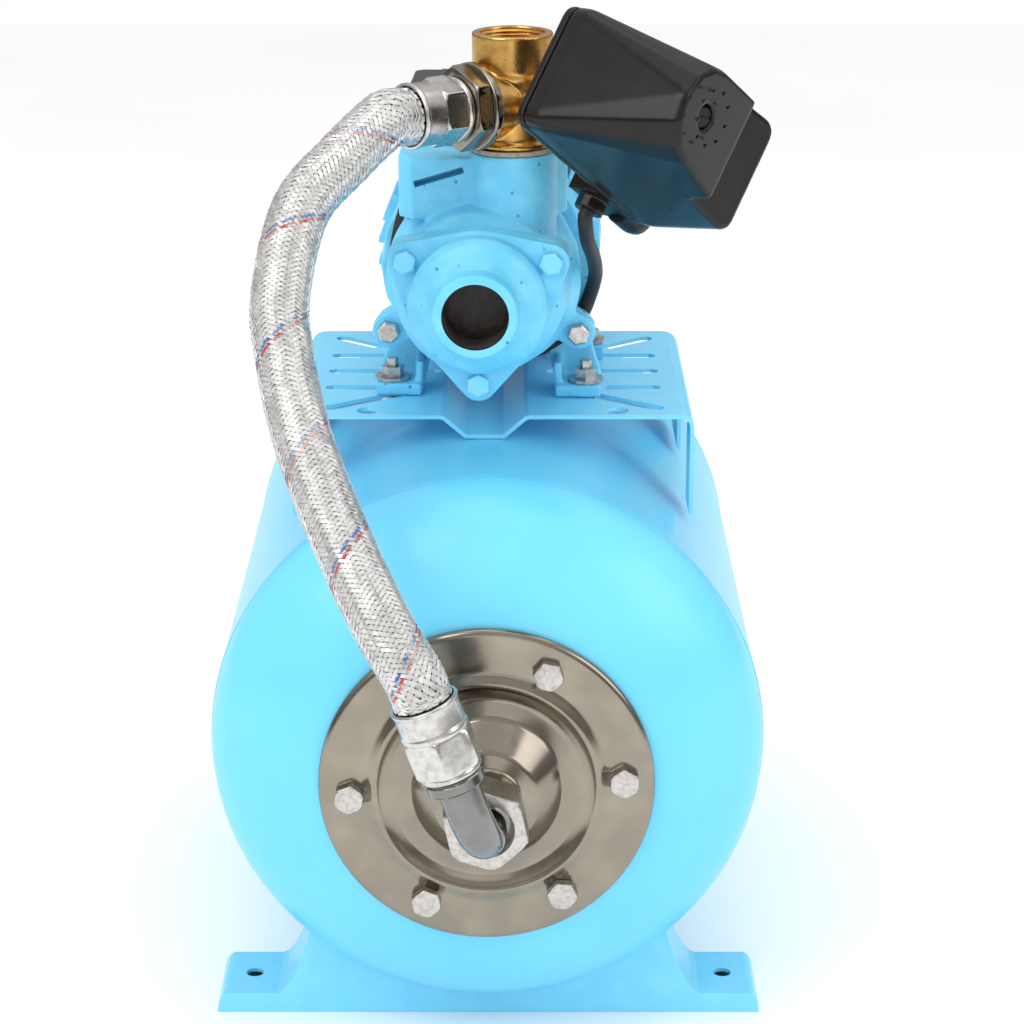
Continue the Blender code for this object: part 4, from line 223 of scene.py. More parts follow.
@dataclass(frozen=True)
class Finish:
    """A real finish: its two colours, gloss, and the size of its grain and pits.

    Attributes:
        name: The real material.
        colour: Its main colour.
        other: The colour that shows in patches.
        roughness: The middle of its roughness.
        metallic: 1 for bare metal.
        grain_mm: Size of the colour patches.
        spread: How far the roughness strays with the patches.
        bump_mm: Height of the fine texture.
        texture_mm: Size of the fine texture.
        pits_mm: Distance between pits, or 0 for none.
        coat: Weight of a clear coat.
        specular: Strength of a plastic's or a paint's own reflection.
    """

    name: str
    colour: str
    other: str
    roughness: float
    metallic: float = 0.0
    grain_mm: float = 12.0
    spread: float = 0.08
    bump_mm: float = 0.03
    texture_mm: float = 1.0
    pits_mm: float = 0.0
    coat: float = 0.0
    specular: float = 0.5

    def make(self) -> Material:
        """Builds the material's nodes.

        Returns:
            The material.
        """
        material = bpy.data.materials.new(self.name)
        material.use_nodes = True
        graph = Graph(material.node_tree)
        shader = graph.tree.nodes["Principled BSDF"]
        graph.fill(shader, Metallic=self.metallic, Coat_Weight=self.coat, Coat_Roughness=0.08)
        graph.fill(shader, Specular_IOR_Level=self.specular)
        place = graph.node("ShaderNodeTexCoord").outputs["Object"]
        scale = graph.node("ShaderNodeMapping", Scale=(PER_METRE,) * 3, Vector=place).outputs["Vector"]
        patches = self.noise(graph, scale, self.grain_mm, 4.0)
        low, high = PATCH_EDGES
        blend = graph.node("ShaderNodeMapRange", From_Min=low, From_Max=high, Value=patches)
        colour = graph.mixed(blend.outputs["Result"], linear(self.colour), linear(self.other))
        gloss = graph.node("ShaderNodeMapRange", Value=patches)
        graph.fill(gloss, To_Min=max(0.02, self.roughness - self.spread), To_Max=self.roughness + self.spread)
        fine = self.noise(graph, scale, self.texture_mm, 2.0)
        bump = graph.node("ShaderNodeBump", Distance=self.bump_mm * MM, Strength=1.0, Height=fine).outputs["Normal"]
        graph.fill(shader, Roughness=gloss.outputs["Result"], Normal=bump)
        if self.pits_mm:
            colour = self.pit(graph, scale, bump, colour, shader)
        graph.fill(shader, Base_Color=colour)
        return material

    def noise(self, graph: Graph, scale, size_mm: float, detail: float):
        """One noise texture.

        Args:
            graph: The material's nodes.
            scale: The place in millimetres.
            size_mm: The pattern's size.
            detail: How many finer levels it has.

        Returns:
            The noise's socket.
        """
        return graph.node("ShaderNodeTexNoise", Scale=1.0 / size_mm, Detail=detail, Vector=scale).outputs["Fac"]

    def pit(self, graph: Graph, scale, bump, colour, shader):
        """Small pits, as in a painted sand casting: dented by a bump, and darkened with painted shade.

        Args:
            graph: The material's nodes.
            scale: The place in millimetres.
            bump: The fine texture's normal.
            colour: The colour socket so far.
            shader: The Principled shader.

        Returns:
            The colour socket with the painted shade in the pits.
        """
        cells = graph.node("ShaderNodeTexVoronoi", Scale=1.0 / self.pits_mm, Vector=scale).outputs["Distance"]
        low, high = PIT_EDGES
        depth = graph.node("ShaderNodeMapRange", From_Min=low, From_Max=high, Value=cells).outputs["Result"]
        dents = graph.node("ShaderNodeBump", Distance=PIT_DEPTH, Height=depth, Normal=bump)
        graph.fill(shader, Normal=dents.outputs["Normal"])
        # Painted shade: the colour turns to a darker blue towards each pit's middle
        return graph.mixed(depth, linear(PIT_SHADE_COLOUR), colour)


FINISHES = {
    # Sky-blue enamel over a sand casting
    "cast": Finish("cast_enamel", "#66C7EC", "#7AD2F3", 0.40, pits_mm=9.0, bump_mm=0.10, texture_mm=1.8),
    # Sky-blue enamel over pressed sheet steel
    "sheet": Finish("sheet_enamel", "#76D0F1", "#7ED5F4", 0.34, bump_mm=0.01, texture_mm=2.0, coat=0.15),
    # Smooth enamel on the tank, with a faint orange peel
    "tank": Finish(
        "tank_enamel", "#68CCF0", "#6FD1F3", 0.34,
        grain_mm=60.0, bump_mm=0.004, texture_mm=3.0, coat=0.12,
    ),
    # Yellow zinc plate on the pressed flange
    "zinc": Finish("yellow_zinc", "#8F887C", "#9E9687", 0.17, 1.0, grain_mm=22.0, bump_mm=0.008),
    # Bright zinc plate on bolts, washers and nuts
    "bright": Finish("bright_zinc", "#C8C4C0", "#A9A49C", 0.30, 1.0, grain_mm=2.5, bump_mm=0.02),
    # Polished chrome
    "chrome": Finish("chrome_plate", "#8A8886", "#7E7C7A", 0.08, 1.0, spread=0.02, bump_mm=0.002),
    # Satin nickel on the hose's nuts
    "nickel": Finish("satin_nickel", "#D2D0CC", "#B7B3AD", 0.26, 1.0, grain_mm=4.0, bump_mm=0.02),
    # Forged brass, tumbled
    "brass": Finish("forged_brass", "#E0B368", "#BC8440", 0.27, 1.0, grain_mm=9.0, bump_mm=0.05),
    # Bare steel
    "steel": Finish("bare_steel", "#8F8E8C", "#6E6B68", 0.36, 1.0, grain_mm=5.0),
    # Stainless braid wire
    "wire": Finish("braid_wire", "#F0EFED", "#DAD8D5", 0.34, 0.9, grain_mm=3.0, bump_mm=0.0),
    # Coloured tracer threads in the braid
    "blue": Finish("blue_tracer", "#3D6FB4", "#2C5794", 0.45, grain_mm=3.0),
    "red": Finish("red_tracer", "#C04038", "#9A2C28", 0.45, grain_mm=3.0),
    # Black rubber of the membrane and the motor lead's sheath
    "rubber": Finish("black_rubber", "#1D1C1B", "#292726", 0.55, grain_mm=8.0, bump_mm=0.03),
    # Satin moulded plastic of the switch
    "plastic": Finish(
        "satin_plastic", "#14110F", "#1A1614", 0.24,
        spread=0.04, bump_mm=0.01, texture_mm=0.7, specular=0.3,
    ),
    # Duller moulded plastic of the terminal box and the fan
    "dull": Finish("dull_plastic", "#2B2725", "#35302D", 0.42, bump_mm=0.04, texture_mm=0.9),
    # Ground ceramic
    "ceramic": Finish("ceramic", "#E5E0D4", "#D8D2C4", 0.2),
    # Grey-beige fibre sealing ring
    "fibre": Finish("fibre_ring", "#A79F8C", "#8C836F", 0.8, grain_mm=2.0, bump_mm=0.08),
    # White thread sealant with rust
    "sealant": Finish("sealant", "#D9D3C4", "#A8753F", 0.7, grain_mm=2.5, bump_mm=0.2, texture_mm=0.8),
    # Near-black inside of the suction port: painted shade in the bore, with patches of brown rust
    "port": Finish("port_shade_and_rust", "#171310", "#3A2A22", 0.45, grain_mm=6.0, bump_mm=0.2, texture_mm=1.2),
    # Black paint on the gauge's needle
    "ink": Finish("dial_ink", "#151515", "#202020", 0.5, bump_mm=0.0),
    # Shaded gaps of the braid
    "gap": Finish("braid_gap", "#54524F", "#403E3C", 0.5, 0.6, grain_mm=2.0, bump_mm=0.0),
}


class Finishes:
    """Every finish of the set, made once."""

    def __init__(self) -> None:
        """Makes the materials."""
        for name, finish in FINISHES.items():
            setattr(self, name, finish.make())
        self.glass = self.lens()

    def lens(self) -> Material:
        """Clear gauge lens.

        Returns:
            The material.
        """
        material = Finish("clear_lens", "#F2F6F6", "#E6EEEE", 0.04, spread=0.01, bump_mm=0.0).make()
        shader = material.node_tree.nodes["Principled BSDF"]
        shader.inputs["Transmission Weight"].default_value = 1.0
        return material


# Shapes


def arc(centre: Point, radius: float, start: float, end: float, steps: int) -> list[Point]:
    """Points on a circle.

    Args:
        centre: The circle's centre.
        radius: Its radius.
        start: First angle in degrees.
        end: Last angle in degrees.
        steps: How many steps between them.

    Returns:
        The points in order.
    """
    points = []
    for step in range(steps + 1):
        angle = math.radians(start + (end - start) * step / steps)
        points.append((centre[0] + radius * math.cos(angle), centre[1] + radius * math.sin(angle)))
    return points


def bridge(shape: Shape, low: list, high: list) -> None:
    """Faces between two loops with as many points each.

    Args:
        shape: The mesh to add to.
        low: One loop.
        high: The other loop.
    """
    for index in range(len(low)):
        after = (index + 1) % len(low)
        shape.faces.new((low[index], low[after], high[after], high[index]))


def turned(profile: Profile, segments: int = 96) -> Shape:
    """A solid of revolution about Z.

    Args:
        profile: (radius, height) points in order round the section, radius 0 on the axis.
        segments: Steps round the axis.

    Returns:
        The closed shape.
    """
    shape = bmesh.new()
    rings = []
    for radius, height in profile:
        if radius <= 0:
            rings.append([shape.verts.new((0, 0, height))])
            continue
        ring = []
        for step in range(segments):
            angle = 2 * math.pi * step / segments
            ring.append(shape.verts.new((radius * math.cos(angle), radius * math.sin(angle), height)))
        rings.append(ring)
    for index, ring in enumerate(rings):
        after = rings[(index + 1) % len(rings)]
        if len(ring) > 1 and len(after) > 1:
            bridge(shape, ring, after)
        elif len(ring) > 1 or len(after) > 1:
            wide, tip = (ring, after[0]) if len(ring) > 1 else (after, ring[0])
            for step, corner in enumerate(wide):
                shape.faces.new((corner, wide[(step + 1) % len(wide)], tip))
    return shape


def prism(outline: Profile, low: float, high: float) -> Shape:
    """An outline in X and Y drawn out along Z.

    Args:
        outline: The outline's points in order.
        low: Lower end.
        high: Upper end.

    Returns:
        The closed shape.
    """
    shape = bmesh.new()
    floor = [shape.verts.new((x, y, low)) for x, y in outline]
    roof = [shape.verts.new((x, y, high)) for x, y in outline]
    shape.faces.new(floor[::-1])
    shape.faces.new(roof)
    bridge(shape, floor, roof)
    return shape


def in_mm(points: Profile) -> list[Point]:
    """Points drawn in millimetres.

    Args:
        points: The points.

    Returns:
        The same points in metres.
    """
    return [(first * MM, second * MM) for first, second in points]


def spun(points: Profile, segments: int) -> Shape:
    """A solid of revolution about Z.

    Args:
        points: Its section in millimetres.
        segments: Steps round the axis.

    Returns:
        The closed shape.
    """
    return turned(in_mm(points), segments)


def block(x: Point, y: Point, z: Point) -> Shape:
    """A box.

    Args:
        x: Its low and high X in millimetres.
        y: Its low and high Y.
        z: Its low and high Z.

    Returns:
        The closed shape.
    """
    corners = [(x[0], y[0]), (x[1], y[0]), (x[1], y[1]), (x[0], y[1])]
    return prism(in_mm(corners), z[0] * MM, z[1] * MM)


def rod(radius: float, low: float, high: float, segments: int = 96) -> Shape:
    """A round bar along Z.

    Args:
        radius: Its radius in millimetres.
        low: Its lower end.
        high: Its upper end.
        segments: Steps round it.

    Returns:
        The closed shape.
    """
    return spun([(0, low), (radius, low), (radius, high), (0, high)], segments)


def drill(radius: float, low: float, high: float, segments: int = 24) -> Shape:
    """A round cutter along Z with flat ends.

    Args:
        radius: Its radius in millimetres.
        low: Its lower end.
        high: Its upper end.
        segments: Steps round it.

    Returns:
        The closed shape.
    """
    return prism(arc((0, 0), radius * MM, 0, 360 - 360 / segments, segments - 1), low * MM, high * MM)


def skinned(shape: Shape, loops: Sequence[list]) -> Shape:
    """Closes a row of loops into a solid.

    Args:
        shape: The mesh that the loops are in.
        loops: The loops in order.

    Returns:
        The same mesh.
    """
    for low, high in zip(loops, loops[1:]):
        bridge(shape, low, high)
    shape.faces.new(loops[0][::-1])
    shape.faces.new(loops[-1])
    return shape


def moved(shape: Shape, place: Matrix) -> Shape:
    """Carries a shape into another frame.

    Args:
        shape: The shape.
        place: The matrix.

    Returns:
        The same shape.
    """
    bmesh.ops.transform(shape, matrix=place, verts=shape.verts)
    return shape


def at(x: float, y: float, z: float, turn: float = 0.0, axis: str = "Z") -> Matrix:
    """A move after a turn.

    Args:
        x: Move along X.
        y: Move along Y.
        z: Move along Z.
        turn: Degrees.
        axis: The axis of the turn.

    Returns:
        The matrix.
    """
    return Matrix.Translation((x, y, z)) @ Matrix.Rotation(math.radians(turn), 4, axis)


UPRIGHT = Matrix.Rotation(math.radians(-90), 4, "X")


def gathered(shapes: Iterable[Shape]) -> Shape:
    """Several shapes in one mesh.

    Args:
        shapes: The shapes, which are used up.

    Returns:
        The mesh with all of them.
    """
    whole = bmesh.new()
    for shape in shapes:
        bmesh.ops.recalc_face_normals(shape, faces=shape.faces)
        copies = {corner: whole.verts.new(corner.co) for corner in shape.verts}
        for face in shape.faces:
            whole.faces.new([copies[corner] for corner in face.verts])
        shape.free()
    return whole


def capsule(start: Point, end: Point, width: float) -> list[Point]:
    """The outline of a slot with round ends.

    Args:
        start: Centre of one end.
        end: Centre of the other end.
        width: The slot's width.

    Returns:
        The outline's points.
    """
    angle = math.degrees(math.atan2(end[1] - start[1], end[0] - start[0]))
    outline = arc(end, width / 2, angle - 90, angle + 90, 12)
    return outline + arc(start, width / 2, angle + 90, angle + 270, 12)


# Pieces


SHARP_ANGLE = 50
NODE_BEVEL_ANGLE = 38
NODE_BEVEL_STEPS = 2
SMOOTHING = {"factor": 0.5}


def modified(piece: Object, kind: str, **settings) -> Object:
    """Adds one modifier.

    Args:
        piece: The piece.
        kind: The modifier's type.
        settings: Its properties.

    Returns:
        The same piece.
    """
    modifier = piece.modifiers.new(kind.lower(), kind)
    for key, value in settings.items():
        setattr(modifier, key, value)
    return piece


def bevelled(piece: Object, width: float, segments: int, angle: float) -> Object:
    """Adds a rounding of a piece's edges.

    Args:
        piece: The piece.
        width: The rounding's width.
        segments: Its steps.
        angle: Edges over this angle in degrees are rounded.

    Returns:
        The same piece.
    """
    limit = {"limit_method": "ANGLE", "angle_limit": math.radians(angle)}
    return modified(piece, "BEVEL", width=width, segments=segments, **limit)


def smooth_shaded(piece: Object) -> Object:
    """Shades a piece smoothly up to its sharp edges.

    Args:
        piece: The piece.

    Returns:
        The same piece.
    """
    piece.data.shade_smooth()
    piece.data.set_sharp_from_angle(angle=math.radians(SHARP_ANGLE))
    return piece


def bake(piece: Object) -> None:
    """Turns a piece's modifiers into plain mesh.

    Args:
        piece: The piece.
    """
    bpy.context.view_layer.update()
    depsgraph = bpy.context.evaluated_depsgraph_get()
    mesh = bpy.data.meshes.new_from_object(piece.evaluated_get(depsgraph), depsgraph=depsgraph)
    piece.modifiers.clear()
    piece.data = mesh


def put(name: str, shape: Shape, place: Matrix, material: Material, sharp: float = 35.0) -> Object:
    """Turns a shape into an object in the row frame.

    Args:
        name: The object's name.
        shape: The shape, which is used up.
        place: The frame that it is drawn in.
        material: Its finish.
        sharp: Edges over this angle in degrees stay sharp.

    Returns:
        The object, at the origin.
    """
    moved(shape, place)
    bmesh.ops.recalc_face_normals(shape, faces=shape.faces)
    mesh = bpy.data.meshes.new(name)
    shape.to_mesh(mesh)
    shape.free()
    mesh.materials.append(material)
    mesh.shade_smooth()
    mesh.set_sharp_from_angle(angle=math.radians(sharp))
    piece = bpy.data.objects.new(name, mesh)
    bpy.context.scene.collection.objects.link(piece)
    return piece


def soften(piece: Object, width: float, segments: int = 3, angle: float = 30.0) -> Object:
    """Rounds a piece's edges.

    Args:
        piece: The piece.
        width: The bevel's width.
        segments: Its steps.
        angle: Edges over this angle in degrees are rounded.

    Returns:
        The same piece.
    """
    bake(bevelled(piece, width, segments, angle))
    return smooth_shaded(piece)


def cast(piece: Object, voxel: float, rounds: int) -> Object:
    """Melts overlapping solids into one casting with soft fillets.

    Args:
        piece: The piece.
        voxel: Size of the grid it is melted on.
        rounds: How often its surface is smoothed.

    Returns:
        The same piece.
    """
    bake(modified(piece, "REMESH", mode="VOXEL", voxel_size=voxel, use_smooth_shade=True))
    bake(modified(piece, "SMOOTH", iterations=rounds, **SMOOTHING))
    piece.data.shade_smooth()
    return piece


def carve(piece: Object, shape: Shape, place: Matrix) -> None:
    """Cuts a shape out of a piece.

    Args:
        piece: The piece.
        shape: The cutter, which is used up.
        place: The frame that the cutter is drawn in.
    """
    tool = put(piece.name + "_tool", shape, place, piece.data.materials[0])
    bake(modified(piece, "BOOLEAN", operation="DIFFERENCE", solver="MANIFOLD", object=tool))
    bpy.data.objects.remove(tool)
    smooth_shaded(piece)


def settle(piece: Object, body: Body, *nodes: str) -> Object:
    """Fixes a finished piece to its body, in place of the model's nodes.

    Args:
        piece: The piece.
        body: The body it rides on.
        nodes: The nodes it stands for.

    Returns:
        The same piece.
    """
    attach(piece, body.value)
    if nodes:
        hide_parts(*nodes)
    log.info("%s: %d faces", piece.name, len(piece.data.polygons))
    return piece


def dress(material: Material, *nodes: str, bevel: float = 0.0) -> None:
    """Gives nodes of the frame their finish, and rounds their edges.

    Args:
        material: The finish.
        nodes: The nodes' names.
        bevel: Width of the rounding, or 0 for none.
    """
    for name in nodes:
        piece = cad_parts[name]
        piece.data.materials.clear()
        piece.data.materials.append(material)
        if bevel:
            bevelled(piece, bevel, NODE_BEVEL_STEPS, NODE_BEVEL_ANGLE)
        log.info("%s: dressed", name)


def melt(material: Material, voxel: float, rounds: int, *nodes: str) -> None:
    """Gives nodes of the frame their finish, and the soft fillets of a casting or a moulding.

    Args:
        material: The finish.
        voxel: Size of the grid that the surface is drawn on.
        rounds: How often it is smoothed.
        nodes: The nodes' names.
    """
    dress(material, *nodes)
    for name in nodes:
        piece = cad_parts[name]
        modified(piece, "REMESH", mode="VOXEL", voxel_size=voxel, use_smooth_shade=True)
        modified(piece, "SMOOTH", iterations=rounds, **SMOOTHING)


def hexagon_loop(shape: Shape, flats: float, limit: float, level: float, segments: int) -> list:
    """One level of a hexagon whose corners are cut to a circle.

    Args:
        shape: The mesh to add to.
        flats: Size across the flats.
        limit: The circle's radius.
        level: The height.
        segments: Steps round it, a multiple of 6.

    Returns:
        The level's corners in order.
    """
    loop = []
    for step in range(segments):
        angle = 2 * math.pi * step / segments
        inside = (angle + math.pi / 6) % (math.pi / 3) - math.pi / 6
        reach = min(flats / 2 / math.cos(inside), limit)
        loop.append(shape.verts.new((reach * math.cos(angle), reach * math.sin(angle), level)))
    return loop


def hexagon_head(flats: float, height: float, segments: int = 48) -> Shape:
    """A hexagon head with its round chamfer, standing on z = 0.

    Args:
        flats: Size across the flats.
        height: Its height.
        segments: Steps round it, a multiple of 6.

    Returns:
        The closed shape.
    """
    corner = flats / math.sqrt(3)
    shape = bmesh.new()
    levels = ((1.0, 0.0), (1.0, 0.78), (0.965, 0.9), (0.90, 1.0))
    return skinned(shape, [hexagon_loop(shape, flats, corner * cut, height * rise, segments) for cut, rise in levels])


def hexagon_ring(flats: float, bore: float, height: float, segments: int = 96) -> Shape:
    """A hexagon nut with a bore, standing on z = 0.

    Args:
        flats: Size across the flats.
        bore: Radius of the bore.
        height: Its height.
        segments: Steps round it, a multiple of 6.

    Returns:
        The closed shape.
    """
    corner = flats / math.sqrt(3)
    chamfer = corner * 0.93
    shape = bmesh.new()
    levels = ((bore, 0.0), (chamfer, 0.0), (corner, 0.1), (corner, 0.9), (chamfer, 1.0), (bore, 1.0))
    loops = [hexagon_loop(shape, flats, limit, height * share, segments) for limit, share in levels]
    for low, high in zip(loops, loops[1:] + loops[:1]):
        bridge(shape, low, high)
    return shape


# Sub-assemblies


class Assembly:
    """A sub-assembly of the set."""

    def __init__(self, finishes: Finishes) -> None:
        """Keeps the finishes.

        Args:
            finishes: The finishes.
        """
        self.finishes = finishes

    def build(self) -> None:
        """Builds every piece."""
        raise NotImplementedError


@dataclass(frozen=True)
class TankSizes:
    """Sizes of the tank, in its own frame.

    Attributes:
        radius: The shell's radius.
        front: Z of the front weld.
        rear: Z of the rear weld.
        dome: Depth of each dome.
        collar: Radius of the flat front collar.
        face: Z of the collar's face.
        bolt_circle: Radius of the bolts' circle.
        bolt_start: The first bolt's angle in degrees.
        bolt_flats: Size across a bolt head's flats.
        bolt_head: Height of a bolt head.
    """

    radius: float = 135 * MM
    front: float = -61.98 * MM
    rear: float = -351.98 * MM
    dome: float = 62 * MM
    collar: float = 79 * MM
    face: float = -11.7 * MM
    bolt_circle: float = 65 * MM
    bolt_start: float = 3.6
    bolt_flats: float = 13 * MM
    bolt_head: float = 5.3 * MM


class Tank(Assembly):
    """The pressure tank, its flange and bolts, and the two feet."""

    sizes = TankSizes()
    # Share of the barrel's length, and how far it swells there in mm
    SEAMS = ((0.0, 0.35), (0.01, 0.5), (0.02, 0.35), (0.03, 0.0), (0.97, 0.0), (0.98, 0.35), (0.99, 0.5))
    # Radius and height in mm, from the neck out over the rolled rings and back behind
    FLANGE = (
        *((12.5, 34.0), (16.4, 34.0), (16.4, 11.0), (24.4, 9.0), (36, -4.6), (45, -7.1), (50, -5.1), (53, -2.6)),
        *((58, -5.6), (78, -5.6), (80, -8.1), (79, -11.2), (60, -11.2), (46, -13), (12.5, -6)),
    )

    def build(self) -> None:
        """Builds every piece."""
        self.shell()
        self.flange()
        self.bolts()
        dress(self.finishes.sheet, "foot_front", "foot_rear", bevel=0.4 * MM)
        dress(self.finishes.rubber, "membrane")
        dress(self.finishes.brass, "air_valve")
        dress(self.finishes.dull, "air_valve_cap")

    def shell(self) -> None:
        """The welded shell with its two domes and faint weld seams."""
        s = self.sizes
        profile = [(46 * MM, s.face), (s.collar, s.face)]
        start = s.front + s.dome * math.sqrt(1 - (s.collar / s.radius) ** 2)
        for step in range(1, 41):
            radius = s.collar + (s.radius - s.collar) * math.sin(math.pi / 2 * step / 40)
            height = s.front + s.dome * math.sqrt(max(0.0, 1 - (radius / s.radius) ** 2))
            profile.append((radius, height + (s.face - start) * max(0.0, 1 - 3 * step / 40)))
        for share, swell in self.SEAMS:
            profile.append((s.radius + swell * MM, s.front + (s.rear - s.front) * share))
        for step in range(36):
            angle = math.pi / 2 * step / 36
            profile.append((s.radius * math.cos(angle), s.rear - s.dome * math.sin(angle)))
        profile += [(5 * MM, s.rear - s.dome + 0.2 * MM), (5 * MM, s.rear - s.dome + 3 * MM)]
        profile += [(44 * MM, s.face - 8 * MM)]
        piece = put("tank_skin", turned(profile, 192), TANK, self.finishes.tank, sharp=60)
        settle(piece, Body.BASE, "tank_shell")

    def flange(self) -> None:
        """The pressed flange with its rolled rings."""
        piece = put("flange_skin", spun(self.FLANGE, 144), TANK, self.finishes.zinc)
        soften(piece, 1.6 * MM, 5, 12)
        settle(piece, Body.BASE, "tank_flange")

    def bolts(self) -> None:
        """Six hexagon bolts on the flange."""
        s = self.sizes
        for index in range(6):
            angle = math.radians(s.bolt_start + 60 * index)
            shape = moved(hexagon_head(s.bolt_flats, s.bolt_head), at(0, 0, -s.bolt_head, 17 * index))
            place = TANK @ at(s.bolt_circle * math.cos(angle), s.bolt_circle * math.sin(angle), 0)
            piece = put(f"tank_bolt_{index + 1}", shape, place, self.finishes.bright)
            settle(soften(piece, 0.3 * MM, 2), Body.BASE, f"flange_bolt_{index + 1}")


@dataclass(frozen=True)
class ElbowSizes:
    """Sizes of the elbow and the hose's lower end.

    Attributes:
        tube: The tube's radius.
        bend: Radius of its bend.
        reach: How far the leg stands off the flange.
        leg: The leg's length.
        lean: The leg's lean to the left in degrees.
        nut_flats: Size across the nut's flats.
        nut_bore: Radius of the nut's bore.
        nut_low: Z of the nut's back.
        nut_height: The nut's height.
        nut_turn: The nut's turn in degrees.
        flats: Size across the ferrule's flats.
        flats_bore: Radius inside them.
        flats_low: Where they start along the leg.
        flats_height: Their length.
    """

    tube: float = 9.75 * MM
    bend: float = 22 * MM
    reach: float = 65 * MM
    leg: float = 50 * MM
    lean: float = 20
    nut_flats: float = 36 * MM
    nut_bore: float = 13 * MM
    nut_low: float = 22 * MM
    nut_height: float = 20 * MM
    nut_turn: float = 12
    flats: float = 29 * MM
    flats_bore: float = 10.2 * MM
    flats_low: float = 46 * MM
    flats_height: float = 18 * MM


class Elbow(Assembly):
    """The chrome elbow on the tank's flange, with its nut and the hose's lower ferrule."""

    sizes = ElbowSizes()
    lean = math.radians(sizes.lean)
    side = Vector((-math.sin(lean), math.cos(lean), 0))
    # Sections in mm
    COLLAR = ((0, 34.3), (14.6, 34.3), (15.5, 35.2), (15.5, 36.3), (14, 37.2), (0, 37.2))
    RING = ((0, 36), (12.5, 36), (13.5, 37), (13.5, 41), (12.5, 42), (0, 42))
    CRIMP = ((10.2, 42.5), (13.2, 42.5), (14.4, 43.4), (14.4, 44.8), (14.0, 46), (10.2, 46))
    SLEEVE = (
        *((10.2, 63.5), (15.2, 63.5), (15.7, 64.2), (15.7, 66), (15.1, 67), (15.1, 76.5)),
        *((15.7, 77.2), (15.7, 78.4), (15.0, 79), (14.1, 79), (14.1, 64.5), (10.2, 64.5)),
    )

    def leg(self) -> Matrix:
        """The frame of the elbow's rising leg.

        Returns:
            The frame, Z along the leg.
        """
        turn = self.side.to_track_quat("Z", "Y").to_matrix().to_4x4()
        return TANK @ at(0, 0, self.sizes.reach) @ turn

    def build(self) -> None:
        """Builds every piece."""
        s = self.sizes
        self.tube()
        hexagon = hexagon_ring(s.nut_flats, s.nut_bore, s.nut_height)
        nut = put("elbow_hexagon", hexagon, TANK @ at(0, 0, s.nut_low, s.nut_turn), self.finishes.bright)
        settle(soften(nut, 0.5 * MM, 3), Body.BASE, "elbow_nut")
        self.ferrule()

    def tube(self) -> None:
        """The bent tube with its collar and its ring at the hose."""
        s = self.sizes
        path = [Vector((0, 0, 8 * MM)), Vector((0, 0, 34 * MM))]
        for step in range(21):
            angle = math.pi / 2 * step / 20
            path.append(Vector((0, 0, s.reach - s.bend)) + self.side * s.bend * (1 - math.cos(angle)))
            path[-1].z += s.bend * math.sin(angle)
        path.append(Vector((0, 0, s.reach)) + self.side * s.leg)
        ring = moved(spun(self.RING, 96), TANK.inverted() @ self.leg())
        shape = gathered([swept(path, s.tube, 48), spun(self.COLLAR, 96), ring])
        settle(put("elbow_tube", shape, TANK, self.finishes.chrome), Body.BASE, "elbow")

    def ferrule(self) -> None:
        """The crimped ferrule with its flats."""
        s = self.sizes
        hexagon = moved(hexagon_ring(s.flats, s.flats_bore, s.flats_height), at(0, 0, s.flats_low))
        shape = gathered([spun(self.CRIMP, 96), hexagon, spun(self.SLEEVE, 96)])
        piece = put("lower_ferrule_skin", shape, self.leg(), self.finishes.nickel)
        settle(soften(piece, 0.35 * MM, 3), Body.BASE, "lower_ferrule")


def swept(path: Sequence[Vector], radius: float, sides: int) -> Shape:
    """A round bar along a path that stays in one plane or bends gently.

    Args:
        path: The path's points.
        radius: The bar's radius.
        sides: Steps round it.

    Returns:
        The closed shape.
    """
    shape = bmesh.new()
    loops = []
    normal = None
    for index, point in enumerate(path):
        ahead = path[min(index + 1, len(path) - 1)] - path[max(index - 1, 0)]
        ahead.normalize()
        if normal is None:
            normal = ahead.orthogonal().normalized()
        normal = (normal - ahead * normal.dot(ahead)).normalized()
        side = ahead.cross(normal)
        loop = []
        for step in range(sides):
            angle = 2 * math.pi * step / sides
            loop.append(shape.verts.new(point + (normal * math.cos(angle) + side * math.sin(angle)) * radius))
        loops.append(loop)
    return skinned(shape, loops)


def fair(points: Sequence[Vector], spacing: float) -> list[Vector]:
    """Evenly spaced points on a smooth curve through the given ones.

    Args:
        points: The points to pass through.
        spacing: The distance wanted between neighbours.

    Returns:
        The points.
    """
    ends = [points[0] * 2 - points[1]] + list(points) + [points[-1] * 2 - points[-2]]
    dense = []
    for a, b, c, d in zip(ends, ends[1:], ends[2:], ends[3:]):
        for step in range(24):
            t = step / 24
            square, cube = 2 * a - 5 * b + 4 * c - d, 3 * b - a - 3 * c + d
            dense.append(0.5 * ((2 * b) + (c - a) * t + square * t * t + cube * t**3))
    dense.append(points[-1].copy())
    lengths = [0.0]
    for low, high in zip(dense, dense[1:]):
        lengths.append(lengths[-1] + (high - low).length)
    count = max(1, round(lengths[-1] / spacing))
    even, place = [], 0
    for step in range(count + 1):
        target = lengths[-1] * step / count
        while place < len(lengths) - 2 and lengths[place + 1] < target:
            place += 1
        share = (target - lengths[place]) / max(1e-9, lengths[place + 1] - lengths[place])
        even.append(dense[place].lerp(dense[place + 1], share))
    return even


def from_set(points: Sequence[tuple[float, float, float]]) -> list[Vector]:
    """Points of the set's own coordinates, in the row frame.

    Args:
        points: Points measured back from the flange bolts' heads.

    Returns:
        The same points in the row frame.
    """
    return [Vector((x, y + SET_Y, z)) for x, y, z in points]


@dataclass(frozen=True)
class Lay:
    """How a set of wires lies in the braid.

    Attributes:
        strands: How many bundles.
        wires: Wires in a bundle.
        start: Which bundle is the first.
        way: 1 or -1, the way they wind.
        depth: How far under the hose's outside their middle is.
        wire: A wire's radius.
    """

    strands: int
    wires: int
    start: float
    way: float
    depth: float = 0.55 * MM
    wire: float = 0.31 * MM


